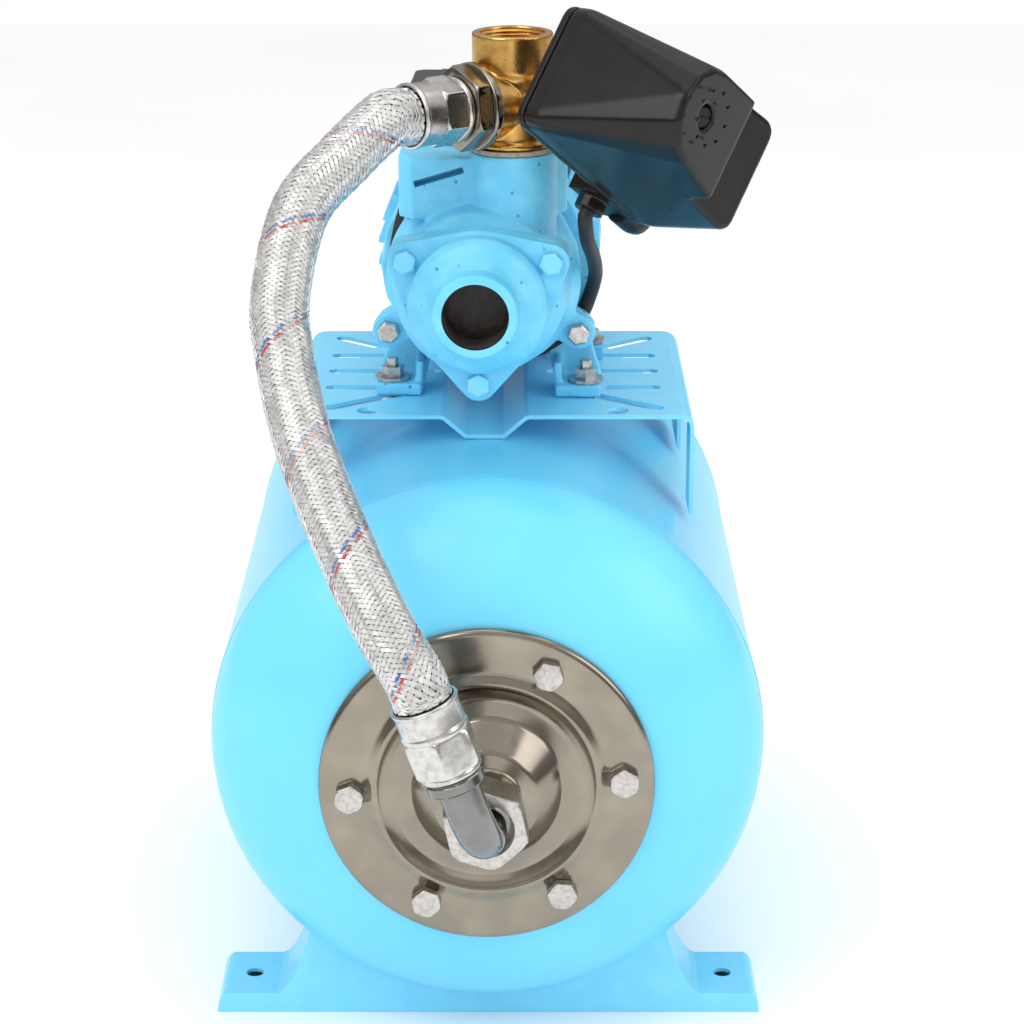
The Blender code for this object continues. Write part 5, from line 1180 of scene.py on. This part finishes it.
class WireGroup(Graph):
    """The node group that winds bundles of wires round a line."""

    INPUTS = (
        ("Strands", "Int"),
        ("Wires", "Int"),
        ("Start", "Float"),
        ("Way", "Float"),
        ("Pitch", "Float"),
        ("Radius", "Float"),
        ("Weave", "Float"),
        ("Of", "Float"),
        ("Gap", "Float"),
        ("Wire", "Float"),
        ("Material", "Material"),
    )

    def __init__(self) -> None:
        """Makes the empty group with its inputs."""
        super().__init__(bpy.data.node_groups.new("braid_wires", "GeometryNodeTree"))
        make = self.tree.interface.new_socket
        for name, kind in (("Geometry", "Geometry"), *self.INPUTS):
            make(name=name, in_out="INPUT", socket_type="NodeSocket" + kind)
        make(name="Geometry", in_out="OUTPUT", socket_type="NodeSocketGeometry")
        self.given = self.tree.nodes.new("NodeGroupInput")

    def maths(self, operation: str, *values, kind: str = "ShaderNodeMath"):
        """One sum on numbers or vectors.

        Args:
            operation: What it does.
            values: Its inputs in order.
            kind: The node's type.

        Returns:
            The result's socket.
        """
        node = self.tree.nodes.new(kind)
        node.operation = operation
        sockets = [node.inputs[0], node.inputs["Scale"]] if operation == "SCALE" else node.inputs
        for socket, value in zip(sockets, values):
            self.feed(socket, value)
        return node.outputs[0]

    def build(self) -> bpy.types.NodeTree:
        """Builds the nodes.

        Returns:
            The finished group.
        """
        given = self.given.outputs
        line = self.node("GeometryNodeMeshToCurve", Mesh=given["Geometry"])
        copies = self.node("GeometryNodeDuplicateElements", Geometry=line.outputs["Curve"])
        copies.domain = "SPLINE"
        self.feed(copies.inputs["Amount"], self.maths("MULTIPLY", given["Strands"], given["Wires"]))
        index = copies.outputs["Duplicate Index"]
        bundle = self.maths("FLOOR", self.maths("DIVIDE", self.maths("ADD", index, 0.5), given["Wires"]))
        wire = self.maths("SUBTRACT", index, self.maths("MULTIPLY", bundle, given["Wires"]))
        bundle = self.maths("ADD", bundle, given["Start"])
        along = self.node("GeometryNodeSplineParameter").outputs["Length"]
        turns = self.maths("DIVIDE", along, given["Pitch"])
        share = self.maths("ADD", turns, self.maths("DIVIDE", bundle, given["Of"]))
        angle = self.maths("MULTIPLY", self.maths("MULTIPLY", share, 2 * math.pi), given["Way"])
        middle = self.maths("DIVIDE", self.maths("SUBTRACT", given["Wires"], 1.0), 2.0)
        angle = self.maths("ADD", angle, self.maths("MULTIPLY", self.maths("SUBTRACT", wire, middle), given["Gap"]))
        phase = self.maths("MULTIPLY", self.maths("MULTIPLY", turns, given["Of"]), math.pi)
        phase = self.maths("ADD", phase, self.maths("MULTIPLY", bundle, math.pi))
        weave = self.maths("MULTIPLY", given["Weave"], given["Way"])
        rise = self.maths("MULTIPLY", self.maths("COSINE", phase), weave)
        radius = self.maths("ADD", given["Radius"], rise)
        normal = self.node("GeometryNodeInputNormal").outputs["Normal"]
        tangent = self.node("GeometryNodeInputTangent").outputs["Tangent"]
        vector = "ShaderNodeVectorMath"
        side = self.maths("CROSS_PRODUCT", tangent, normal, kind=vector)
        across = self.maths("SCALE", normal, self.maths("MULTIPLY", radius, self.maths("COSINE", angle)), kind=vector)
        upward = self.maths("SCALE", side, self.maths("MULTIPLY", radius, self.maths("SINE", angle)), kind=vector)
        offset = self.maths("ADD", across, upward, kind=vector)
        bent = self.node("GeometryNodeSetPosition", Geometry=copies.outputs["Geometry"], Offset=offset)
        section = self.node("GeometryNodeCurvePrimitiveCircle", Resolution=3, Radius=given["Wire"])
        lines = {"Curve": bent.outputs["Geometry"], "Profile_Curve": section.outputs["Curve"]}
        solid = self.node("GeometryNodeCurveToMesh", **lines)
        solid.inputs["Fill Caps"].default_value = True
        real = self.node("GeometryNodeRealizeInstances", Geometry=solid.outputs["Mesh"])
        done = self.node("GeometryNodeSetMaterial", Geometry=real.outputs["Geometry"], Material=given["Material"])
        self.node("NodeGroupOutput", Geometry=done.outputs["Geometry"])
        return self.tree


@dataclass(frozen=True)
class CordSizes:
    """Sizes of the hose and the lead.

    Attributes:
        hose: Radius over the braid.
        lead: Radius of the motor lead.
        strands: Bundles each way in the braid.
        pitch: Length of one turn of a bundle.
    """

    hose: float = 13.8 * MM
    lead: float = 3.65 * MM
    strands: int = 22
    pitch: float = 54 * MM


class Cords(Assembly):
    """The braided hose and the motor lead."""

    sizes = CordSizes()
    # Measured back from the flange bolts' heads, in metres
    HOSE_START = ((-0.02712, -0.065, 0.22452), (-0.02907, -0.065, 0.22987), (-0.03112, -0.065, 0.23551))
    HOSE_ROUTE = (
        *((-0.0437, -0.0570, 0.2546), (-0.0573, -0.0410, 0.2767), (-0.0713, -0.0200, 0.3022)),
        *((-0.0832, 0.0, 0.3286), (-0.0907, 0.0200, 0.3555), (-0.0937, 0.0380, 0.3797)),
        *((-0.0853, 0.0600, 0.4151), (-0.0661, 0.0760, 0.4355)),
    )
    LEAD_ROUTE = (
        *((0.0472, 0.1090, 0.3960), (0.0485, 0.1180, 0.3870), (0.0510, 0.1320, 0.3780), (0.0530, 0.1470, 0.3680)),
        *((0.0535, 0.1600, 0.3590), (0.0515, 0.1690, 0.3480), (0.0470, 0.1708, 0.3365), (0.0370, 0.1713, 0.3255)),
        *((0.0210, 0.1719, 0.3165), (0.0020, 0.1727, 0.3130), (-0.0170, 0.1735, 0.3165)),
        *((-0.0325, 0.1742, 0.3265), (-0.0430, 0.1746, 0.3420), (-0.0465, 0.1748, 0.3600)),
        *((-0.0445, 0.1747, 0.3780), (-0.0395, 0.1745, 0.3950), (-0.0340, 0.1760, 0.4090)),
        *((-0.0300, 0.1810, 0.4175), (-0.0285, 0.1910, 0.4185)),
    )

    def __init__(self, finishes: Finishes) -> None:
        """Keeps the finishes and makes the braid's node group.

        Args:
            finishes: The finishes.
        """
        super().__init__(finishes)
        self.group = WireGroup().build()

    def build(self) -> None:
        """Builds both cords."""
        self.hose()
        self.lead()

    def hose_path(self) -> list[Vector]:
        """The hose's middle line, from the elbow to the brass fitting.

        Returns:
            The path's points.
        """
        end = [HOSE_BRANCH @ Vector((0, 0, reach * MM)) for reach in (77.6, 70.6, 64.6)]
        return fair(from_set(self.HOSE_START) + from_set(self.HOSE_ROUTE) + end, 4 * MM)

    def hose(self) -> None:
        """The hose's core and its woven wires."""
        path = self.hose_path()
        # Painted shade: the core's dark grey shows between the wires as the braid's shaded gaps
        core = swept(path, self.sizes.hose - 0.7 * MM, 48)
        inner = put("hose_core", core, Matrix(), self.finishes.gap)
        settle(inner, Body.BASE, "hose")
        bundles = self.sizes.strands
        parts = [
            self.wound("braid_right", path, Lay(bundles, 4, 0.0, 1.0), self.finishes.wire),
            self.wound("braid_left", path, Lay(bundles, 4, 0.0, -1.0), self.finishes.wire),
            self.wound("tracer_blue", path, Lay(1, 3, 4.0, 1.0, 0.50 * MM, 0.33 * MM), self.finishes.blue),
            self.wound("tracer_red", path, Lay(1, 3, 5.0, 1.0, 0.50 * MM, 0.33 * MM), self.finishes.red),
        ]

    def wound(self, name: str, path: Sequence[Vector], lay: Lay, material: Material) -> Object:
        """Wires wound round the hose by the braid's node group.

        Args:
            name: The piece's name.
            path: The hose's middle line.
            lay: How the wires lie.
            material: Their finish.

        Returns:
            The wires as plain mesh.
        """
        line = fair(list(path), 1.8 * MM)
        mesh = bpy.data.meshes.new(name)
        mesh.from_pydata([tuple(point) for point in line], [(i, i + 1) for i in range(len(line) - 1)], [])
        piece = bpy.data.objects.new(name, mesh)
        bpy.context.scene.collection.objects.link(piece)
        modifier = piece.modifiers.new("wires", "NODES")
        modifier.node_group = self.group
        values = {"Strands": lay.strands, "Wires": lay.wires, "Start": lay.start, "Way": lay.way}
        values |= {"Pitch": self.sizes.pitch, "Radius": self.sizes.hose - lay.depth, "Weave": 0.34 * MM}
        values |= {"Of": self.sizes.strands, "Gap": 0.052, "Wire": lay.wire, "Material": material}
        for item in self.group.interface.items_tree:
            if item.in_out == "INPUT" and item.name in values:
                modifier[item.identifier] = values[item.name]
        bake(piece)
        piece.data.shade_smooth()
        settle(piece, Body.BASE)
        return piece

    def lead(self) -> None:
        """The motor lead's black sheath."""
        start = [SWITCH @ Vector((30 * MM, -reach * MM, 48.5 * MM)) for reach in (36.8, 39.5)]
        end = [PUMP @ Vector((-30 * MM, 58 * MM, depth * MM)) for depth in (-26, -35.7)]
        path = fair(start + from_set(self.LEAD_ROUTE) + end, 2.5 * MM)
        piece = put("lead_sheath", swept(path, self.sizes.lead, 24), Matrix(), self.finishes.rubber)
        settle(piece, Body.BASE, "motor_lead")


class Pump(Assembly):
    """The platform, the pump and its motor."""

    # In mm: the bolts' circle, a lobe's radius, the waist between lobes, a bolt's hole, a fixing ear's hole
    BOLT_CIRCLE, LOBE, WAIST, HOLE = 40.5, 8.8, 35.5, 3.6
    EAR = (47.4, -28)
    BOLT_ANGLES = (30, 150, 270)
    OUTLET = at(14.9 * MM, 0, 25 * MM)
    # Sections and plan in mm
    DRUM = ((0, 6), (48.5, 6), (48.5, 14), (45.5, 16), (44, 20), (41, 47.2), (36, 54), (0, 54))
    PLAN = ((-40.6, 6.3), (41.2, 6.3), (41.2, 15.3), (30.9, 29), (14.9, 35), (-33.6, 35), (-40.6, 28))
    BULGE = (
        *((0, 58), (33.5, 58), (33.5, 70.5), (31, 73.5), (27.5, 75.5)),
        *((23.5, 78.5), (20.9, 82), (20.3, 90.5), (0, 90.5)),
    )

    def build(self) -> None:
        """Builds every piece."""
        f = self.finishes
        dress(f.sheet, "pump_platform", bevel=0.5 * MM)
        self.casing()
        self.cover()
        melt(f.cast, 0.9 * MM, 8, "motor_bracket")
        dress(f.cast, "motor_housing", "end_shield", bevel=0.5 * MM)
        dress(f.sheet, "cover_bolt_1", "cover_bolt_2", "cover_bolt_3", bevel=0.3 * MM)
        dress(f.bright, "bracket_bolt_1", "bracket_bolt_2", bevel=0.3 * MM)
        dress(f.bright, "pump_fixing_1", "pump_fixing_2", "pump_fixing_3", "pump_fixing_4", bevel=0.3 * MM)
        dress(f.steel, "shaft", "rotor_core", "bearing_front", "bearing_rear", "stator")
        dress(f.brass, "impeller")
        dress(f.ceramic, "seal_seat", "seal_head")
        dress(f.dull, "fan", "fan_cover", bevel=0.3 * MM)
        dress(f.dull, "terminal_box", "terminal_lid", bevel=0.9 * MM)

    def lobes(self, low: float, high: float) -> list[Shape]:
        """The three lobes that the cover's bolts go through.

        Args:
            low: Z of their back.
            high: Z of their front.

        Returns:
            One shape for each lobe.
        """
        shapes = []
        spread = math.degrees(math.acos((self.WAIST - self.LOBE) / self.BOLT_CIRCLE))
        for angle in self.BOLT_ANGLES:
            outline = arc((self.BOLT_CIRCLE * MM, 0), self.LOBE * MM, -spread, spread, 14)
            outline += arc((0, 0), self.WAIST * MM, spread, 360 - spread, 60)
            shapes.append(moved(prism(outline, low, high), Matrix.Rotation(math.radians(angle), 4, "Z")))
        return shapes

    def casing(self) -> None:
        """The pump's casing: ring, drum, shoulder, outlet boss, bolt ears and the lobed flange."""
        shapes = [spun(self.DRUM, 160), *self.lobes(45.2 * MM, 57.2 * MM)]
        # Plan in X and Z, drawn up along Y
        raised = prism(in_mm([(x, -z) for x, z in self.PLAN]), 34 * MM, 64.7 * MM)
        shapes.append(moved(raised, UPRIGHT))
        shapes.append(moved(moved(rod(21.5, 12, 67), UPRIGHT), self.OUTLET))
        for side in (-1, 1):
            ear = capsule((30 * side * MM, -18 * MM), (self.EAR[0] * side * MM, self.EAR[1] * MM), 17 * MM)
            shapes.append(prism(ear, 6.3 * MM, 13.7 * MM))
        shapes.append(block((-26, -10), (43.5, 50), (34, 35.6)))
        piece = put("casing_casting", gathered(shapes), PUMP, self.finishes.cast)
        cast(piece, 0.85 * MM, 7)
        carve(piece, block((-60, 60), (-60, 49), (0, 6.1)), PUMP)
        carve(piece, rod(34.2, 42, 60), PUMP)
        carve(piece, rod(18, 2, 44), PUMP)
        carve(piece, block((-12.5, 12.5), (-1.6, 1.6), (25, 40)), PUMP @ at(-20.5 * MM, 55 * MM, 0, 17))
        for angle in map(math.radians, self.BOLT_ANGLES):
            reach = self.BOLT_CIRCLE * MM
            place = PUMP @ at(reach * math.cos(angle), reach * math.sin(angle), 0)
            carve(piece, drill(self.HOLE, 35, 70), place)
        for side in (-1, 1):
            carve(piece, drill(self.HOLE, 0, 20), PUMP @ at(self.EAR[0] * side * MM, self.EAR[1] * MM, 0))
        carve(piece, drill(15.2, 40, 80, 60), PUMP @ self.OUTLET @ UPRIGHT)
        settle(piece, Body.BASE, "pump_casing")

    def cover(self) -> None:
        """The suction cover with its threaded boss."""
        shapes = [spun(self.BULGE, 160), *self.lobes(57.5 * MM, 63.5 * MM)]
        piece = put("suction_casting", gathered(shapes), PUMP, self.finishes.cast)
        cast(piece, 0.7 * MM, 6)
        bore = [(0, 70.5), (15.3, 70.5)]
        for turn in range(11):
            bore += [(15.3, 71.2 + turn * 1.6), (16.0, 72.0 + turn * 1.6)]
        bore += [(15.6, 89.4), (16.6, 92), (0, 92)]
        carve(piece, spun(bore, 96), PUMP)
        carve(piece, block((-60, 60), (-60, 60), (50, 57.55)), PUMP)
        # Painted shade: the bore's inward faces and its floor get the near-black port finish
        piece.data.materials.append(self.finishes.port)
        back = PUMP.inverted()
        for face in piece.data.polygons:
            place = back @ face.center
            inward = (back.to_3x3() @ face.normal).xy.dot(place.xy) < -0.3 * place.xy.length
            deep = place.z < 72 * MM and place.xy.length < 15 * MM
            if place.xy.length < 17 * MM and place.z > 69 * MM and (inward or deep):
                face.material_index = 1
        settle(piece, Body.BASE, "suction_cover")


class Fitting(Assembly):
    """The brass five-way fitting and what is screwed into it."""

    # Sections in mm
    RISE = ((0, 2.6), (19.5, 2.6), (19.5, 5.1), (17.5, 6.5), (17.5, 36), (19.5, 39.5), (19.5, 57), (0, 57))
    RING = ((12, 22.3), (20.4, 22.3), (21, 23), (21, 26), (20.4, 26.8), (12, 26.8))
    BEAD = ((19.2, 22.4), (18.9, 21.6), (17.4, 20.8), (17.1, 22.4))
    CRIMP = ((12.2, 35.5), (15.2, 35.5), (15.7, 36.2), (15.7, 37.6), (15.0, 38.5), (12.2, 38.5))
    SLEEVE = (
        *((12.2, 51.5), (15.1, 51.5), (15.1, 61.6), (15.7, 62.3), (15.7, 63.6), (15.0, 64.3)),
        *((14.15, 64.3), (14.15, 52.6), (12.2, 52.6)),
    )

    def build(self) -> None:
        """Builds every piece."""
        f = self.finishes
        self.body()
        self.nuts()
        dress(f.fibre, "outlet_seal", bevel=0.3 * MM)
        dress(f.nickel, "switch_nipple")
        dress(f.dull, "gauge_case", bevel=0.4 * MM)
        dress(f.ink, "gauge_needle")
        dress(f.glass, "gauge_lens")

    def body(self) -> None:
        """The forged body with its socket and side branches."""
        shapes = [spun(self.RISE, 144)]
        for place, radius, reach in ((HOSE_BRANCH, 17.2, 22), (GAUGE_BRANCH, 9.5, 26), (SWITCH_BRANCH, 9.5, 26)):
            shapes.append(moved(rod(radius, 0, reach, 120), FITTING.inverted() @ place))
        piece = put("brass_body", gathered(shapes), FITTING, self.finishes.brass)
        cast(piece, 0.6 * MM, 7)
        bore = [(0, 0), (14.6, 0), (14.6, 36), (15.2, 38)]
        for turn in range(10):
            bore += [(14.8, 38.6 + turn * 1.8), (15.6, 39.5 + turn * 1.8)]
        bore += [(15.4, 56.4), (16.4, 58), (0, 58)]
        carve(piece, spun(bore, 96), FITTING)
        settle(piece, Body.BASE, "five_way")

    def nuts(self) -> None:
        """The hose's adapter and its upper nut."""
        hexagon = moved(hexagon_ring(36 * MM, 12 * MM, 8.4 * MM), at(0, 0, 26.8 * MM, 8))
        adapter = put("adapter_ring", gathered([spun(self.RING, 120), hexagon]), HOSE_BRANCH, self.finishes.zinc)
        settle(soften(adapter, 0.5 * MM, 3), Body.BASE, "hose_adapter")
        # Thin bead of thread sealant
        seal = put("thread_bead", spun(self.BEAD, 96), HOSE_BRANCH, self.finishes.sealant)
        settle(seal, Body.BASE)
        flats = moved(hexagon_ring(29 * MM, 12.2 * MM, 13 * MM), at(0, 0, 38.5 * MM, 10))
        shapes = [spun(self.CRIMP, 120), spun(self.SLEEVE, 120), flats]
        nut = put("upper_nut_skin", gathered(shapes), HOSE_BRANCH, self.finishes.nickel)
        settle(soften(nut, 0.35 * MM, 3), Body.BASE, "upper_nut")


class Switch(Assembly):
    """The pressure switch."""

    # In mm: the cover's top falls over its width, from its height at the left edge
    FALL, WIDTH, TOP, LEFT = 15, 86.5, 65.8 + 81, 43
    SCREW, RING, DOTS = -22, 12.5, 9
    DOT = ((0, -1.0), (0.8, -1.0), (0.8, 0.2), (0.4, 0.45), (0, 0.5))

    def build(self) -> None:
        """Builds every piece."""
        f = self.finishes
        melt(f.plastic, 0.6 * MM, 6, "switch_base")
        melt(f.plastic, 0.7 * MM, 22, "switch_cover")
        self.dots()
        dress(f.steel, "switch_lever", "range_spring", "range_screw")
        dress(f.plastic, "cover_screw", bevel=0.3 * MM)

    def dots(self) -> None:
        """The small raised dots round the cover's screw."""
        shapes = []
        slope = math.degrees(math.atan2(self.FALL, self.WIDTH))
        for index in range(self.DOTS):
            angle = math.radians(360 // self.DOTS * index + 10)
            x, y = self.SCREW + self.RING * math.cos(angle), self.RING * math.sin(angle)
            height = self.TOP - self.FALL / self.WIDTH * (x + self.LEFT)
            shapes.append(moved(spun(self.DOT, 16), at(x * MM, y * MM, height * MM, slope, "Y")))
        piece = put("cover_dots", gathered(shapes), SWITCH, self.finishes.plastic)
        settle(piece, Body.COVER)


class Studio:
    """The camera, the floor, the lights and the white background."""

    CAMERA = (0.012, -1.380613, 0.703)
    TILT = 71.0
    LENS = 98.4375
    SENSOR = 36.0
    FLOOR_SIDE, FLOOR_LEVEL = 3, -0.0002
    # Name, place, target, side in metres, watts
    LIGHTS = (
        ("key", (-0.8, -0.9, 1.3), (0, 0, 0.3), 1.0, 9.0),
        ("front", (0.1, -1.9, 0.35), (0, 0, 0.25), 0.8, 1.5),
        ("top", (0.25, 0.0, 1.6), (0, 0, 0.3), 1.2, 4.5),
        ("fill", (1.2, -0.7, 0.9), (0, 0, 0.3), 0.8, 4.0),
    )
    # The room seen in reflections, from low to high: level, then strength
    ROOM = {"From_Min": -0.25, "From_Max": 0.55, "To_Min": 0.06, "To_Max": 0.85}

    def build(self) -> None:
        """Sets the studio up."""
        self.camera()
        self.floor()
        self.world()
        for row in self.LIGHTS:
            self.light(*row)

    def camera(self) -> None:
        """The photo's camera."""
        data = bpy.data.cameras.new("camera")
        data.lens = self.LENS
        data.sensor_width = self.SENSOR
        camera = bpy.data.objects.new("camera", data)
        camera.location = self.CAMERA
        camera.rotation_euler = (math.radians(self.TILT), 0, 0)
        bpy.context.scene.collection.objects.link(camera)
        bpy.context.scene.camera = camera

    def floor(self) -> None:
        """The plain pale floor."""
        shape = bmesh.new()
        signs = ((-1, -1), (1, -1), (1, 1), (-1, 1))
        side, level = self.FLOOR_SIDE, self.FLOOR_LEVEL
        shape.faces.new([shape.verts.new((side * x, side * y, level)) for x, y in signs])
        # Matt studio paper
        paper = Finish("studio_paper", "#FBFBFB", "#F8F8F8", 0.9, spread=0.02, grain_mm=400.0, bump_mm=0.0).make()
        piece = put("floor", shape, Matrix(), paper)

    def world(self) -> None:
        """White where the camera sees it, soft grey in reflections."""
        world = bpy.data.worlds.new("studio")
        world.use_nodes = True
        bpy.context.scene.world = world
        bpy.context.scene.view_settings.view_transform = "Standard"
        graph = Graph(world.node_tree)
        soft = graph.fill(graph.tree.nodes["Background"], Color=(0.98, 0.99, 1.0, 1), Strength=1.0)
        # Reflections see a darker room, lighter overhead
        place = graph.node("ShaderNodeTexCoord").outputs["Generated"]
        height = graph.node("ShaderNodeSeparateXYZ", Vector=place).outputs["Z"]
        shade = graph.node("ShaderNodeMapRange", Value=height, **self.ROOM)
        room = graph.node("ShaderNodeBackground", Strength=shade.outputs["Result"])
        white = graph.node("ShaderNodeBackground", Strength=1.0, Color=(1, 1, 1, 1))
        rays = graph.node("ShaderNodeLightPath").outputs
        result = soft.outputs["Background"]
        for ray, other in (("Is Glossy Ray", room), ("Is Camera Ray", white)):
            mix = graph.node("ShaderNodeMixShader", Fac=rays[ray])
            graph.feed(mix.inputs[1], result)
            graph.feed(mix.inputs[2], other.outputs["Background"])
            result = mix.outputs["Shader"]
        graph.fill(graph.tree.nodes["World Output"], Surface=result)

    def light(self, name: str, place: tuple, target: tuple, size: float, power: float) -> None:
        """One softbox.

        Args:
            name: Its name.
            place: Where it stands.
            target: What it points at.
            size: Its side.
            power: Its power in watts.
        """
        data = bpy.data.lights.new(name, "AREA")
        data.shape = "SQUARE"
        data.size = size
        data.energy = power
        lamp = bpy.data.objects.new(name, data)
        lamp.location = place
        lamp.rotation_euler = (Vector(target) - Vector(place)).to_track_quat("-Z", "Y").to_euler()
        bpy.context.scene.collection.objects.link(lamp)


def main() -> None:
    """Builds the scene."""
    finishes = Finishes()
    Studio().build()
    Cords(finishes).build()
    Tank(finishes).build()
    Elbow(finishes).build()
    Pump(finishes).build()
    Fitting(finishes).build()
    Switch(finishes).build()


if __name__ == "__main__":
    main()
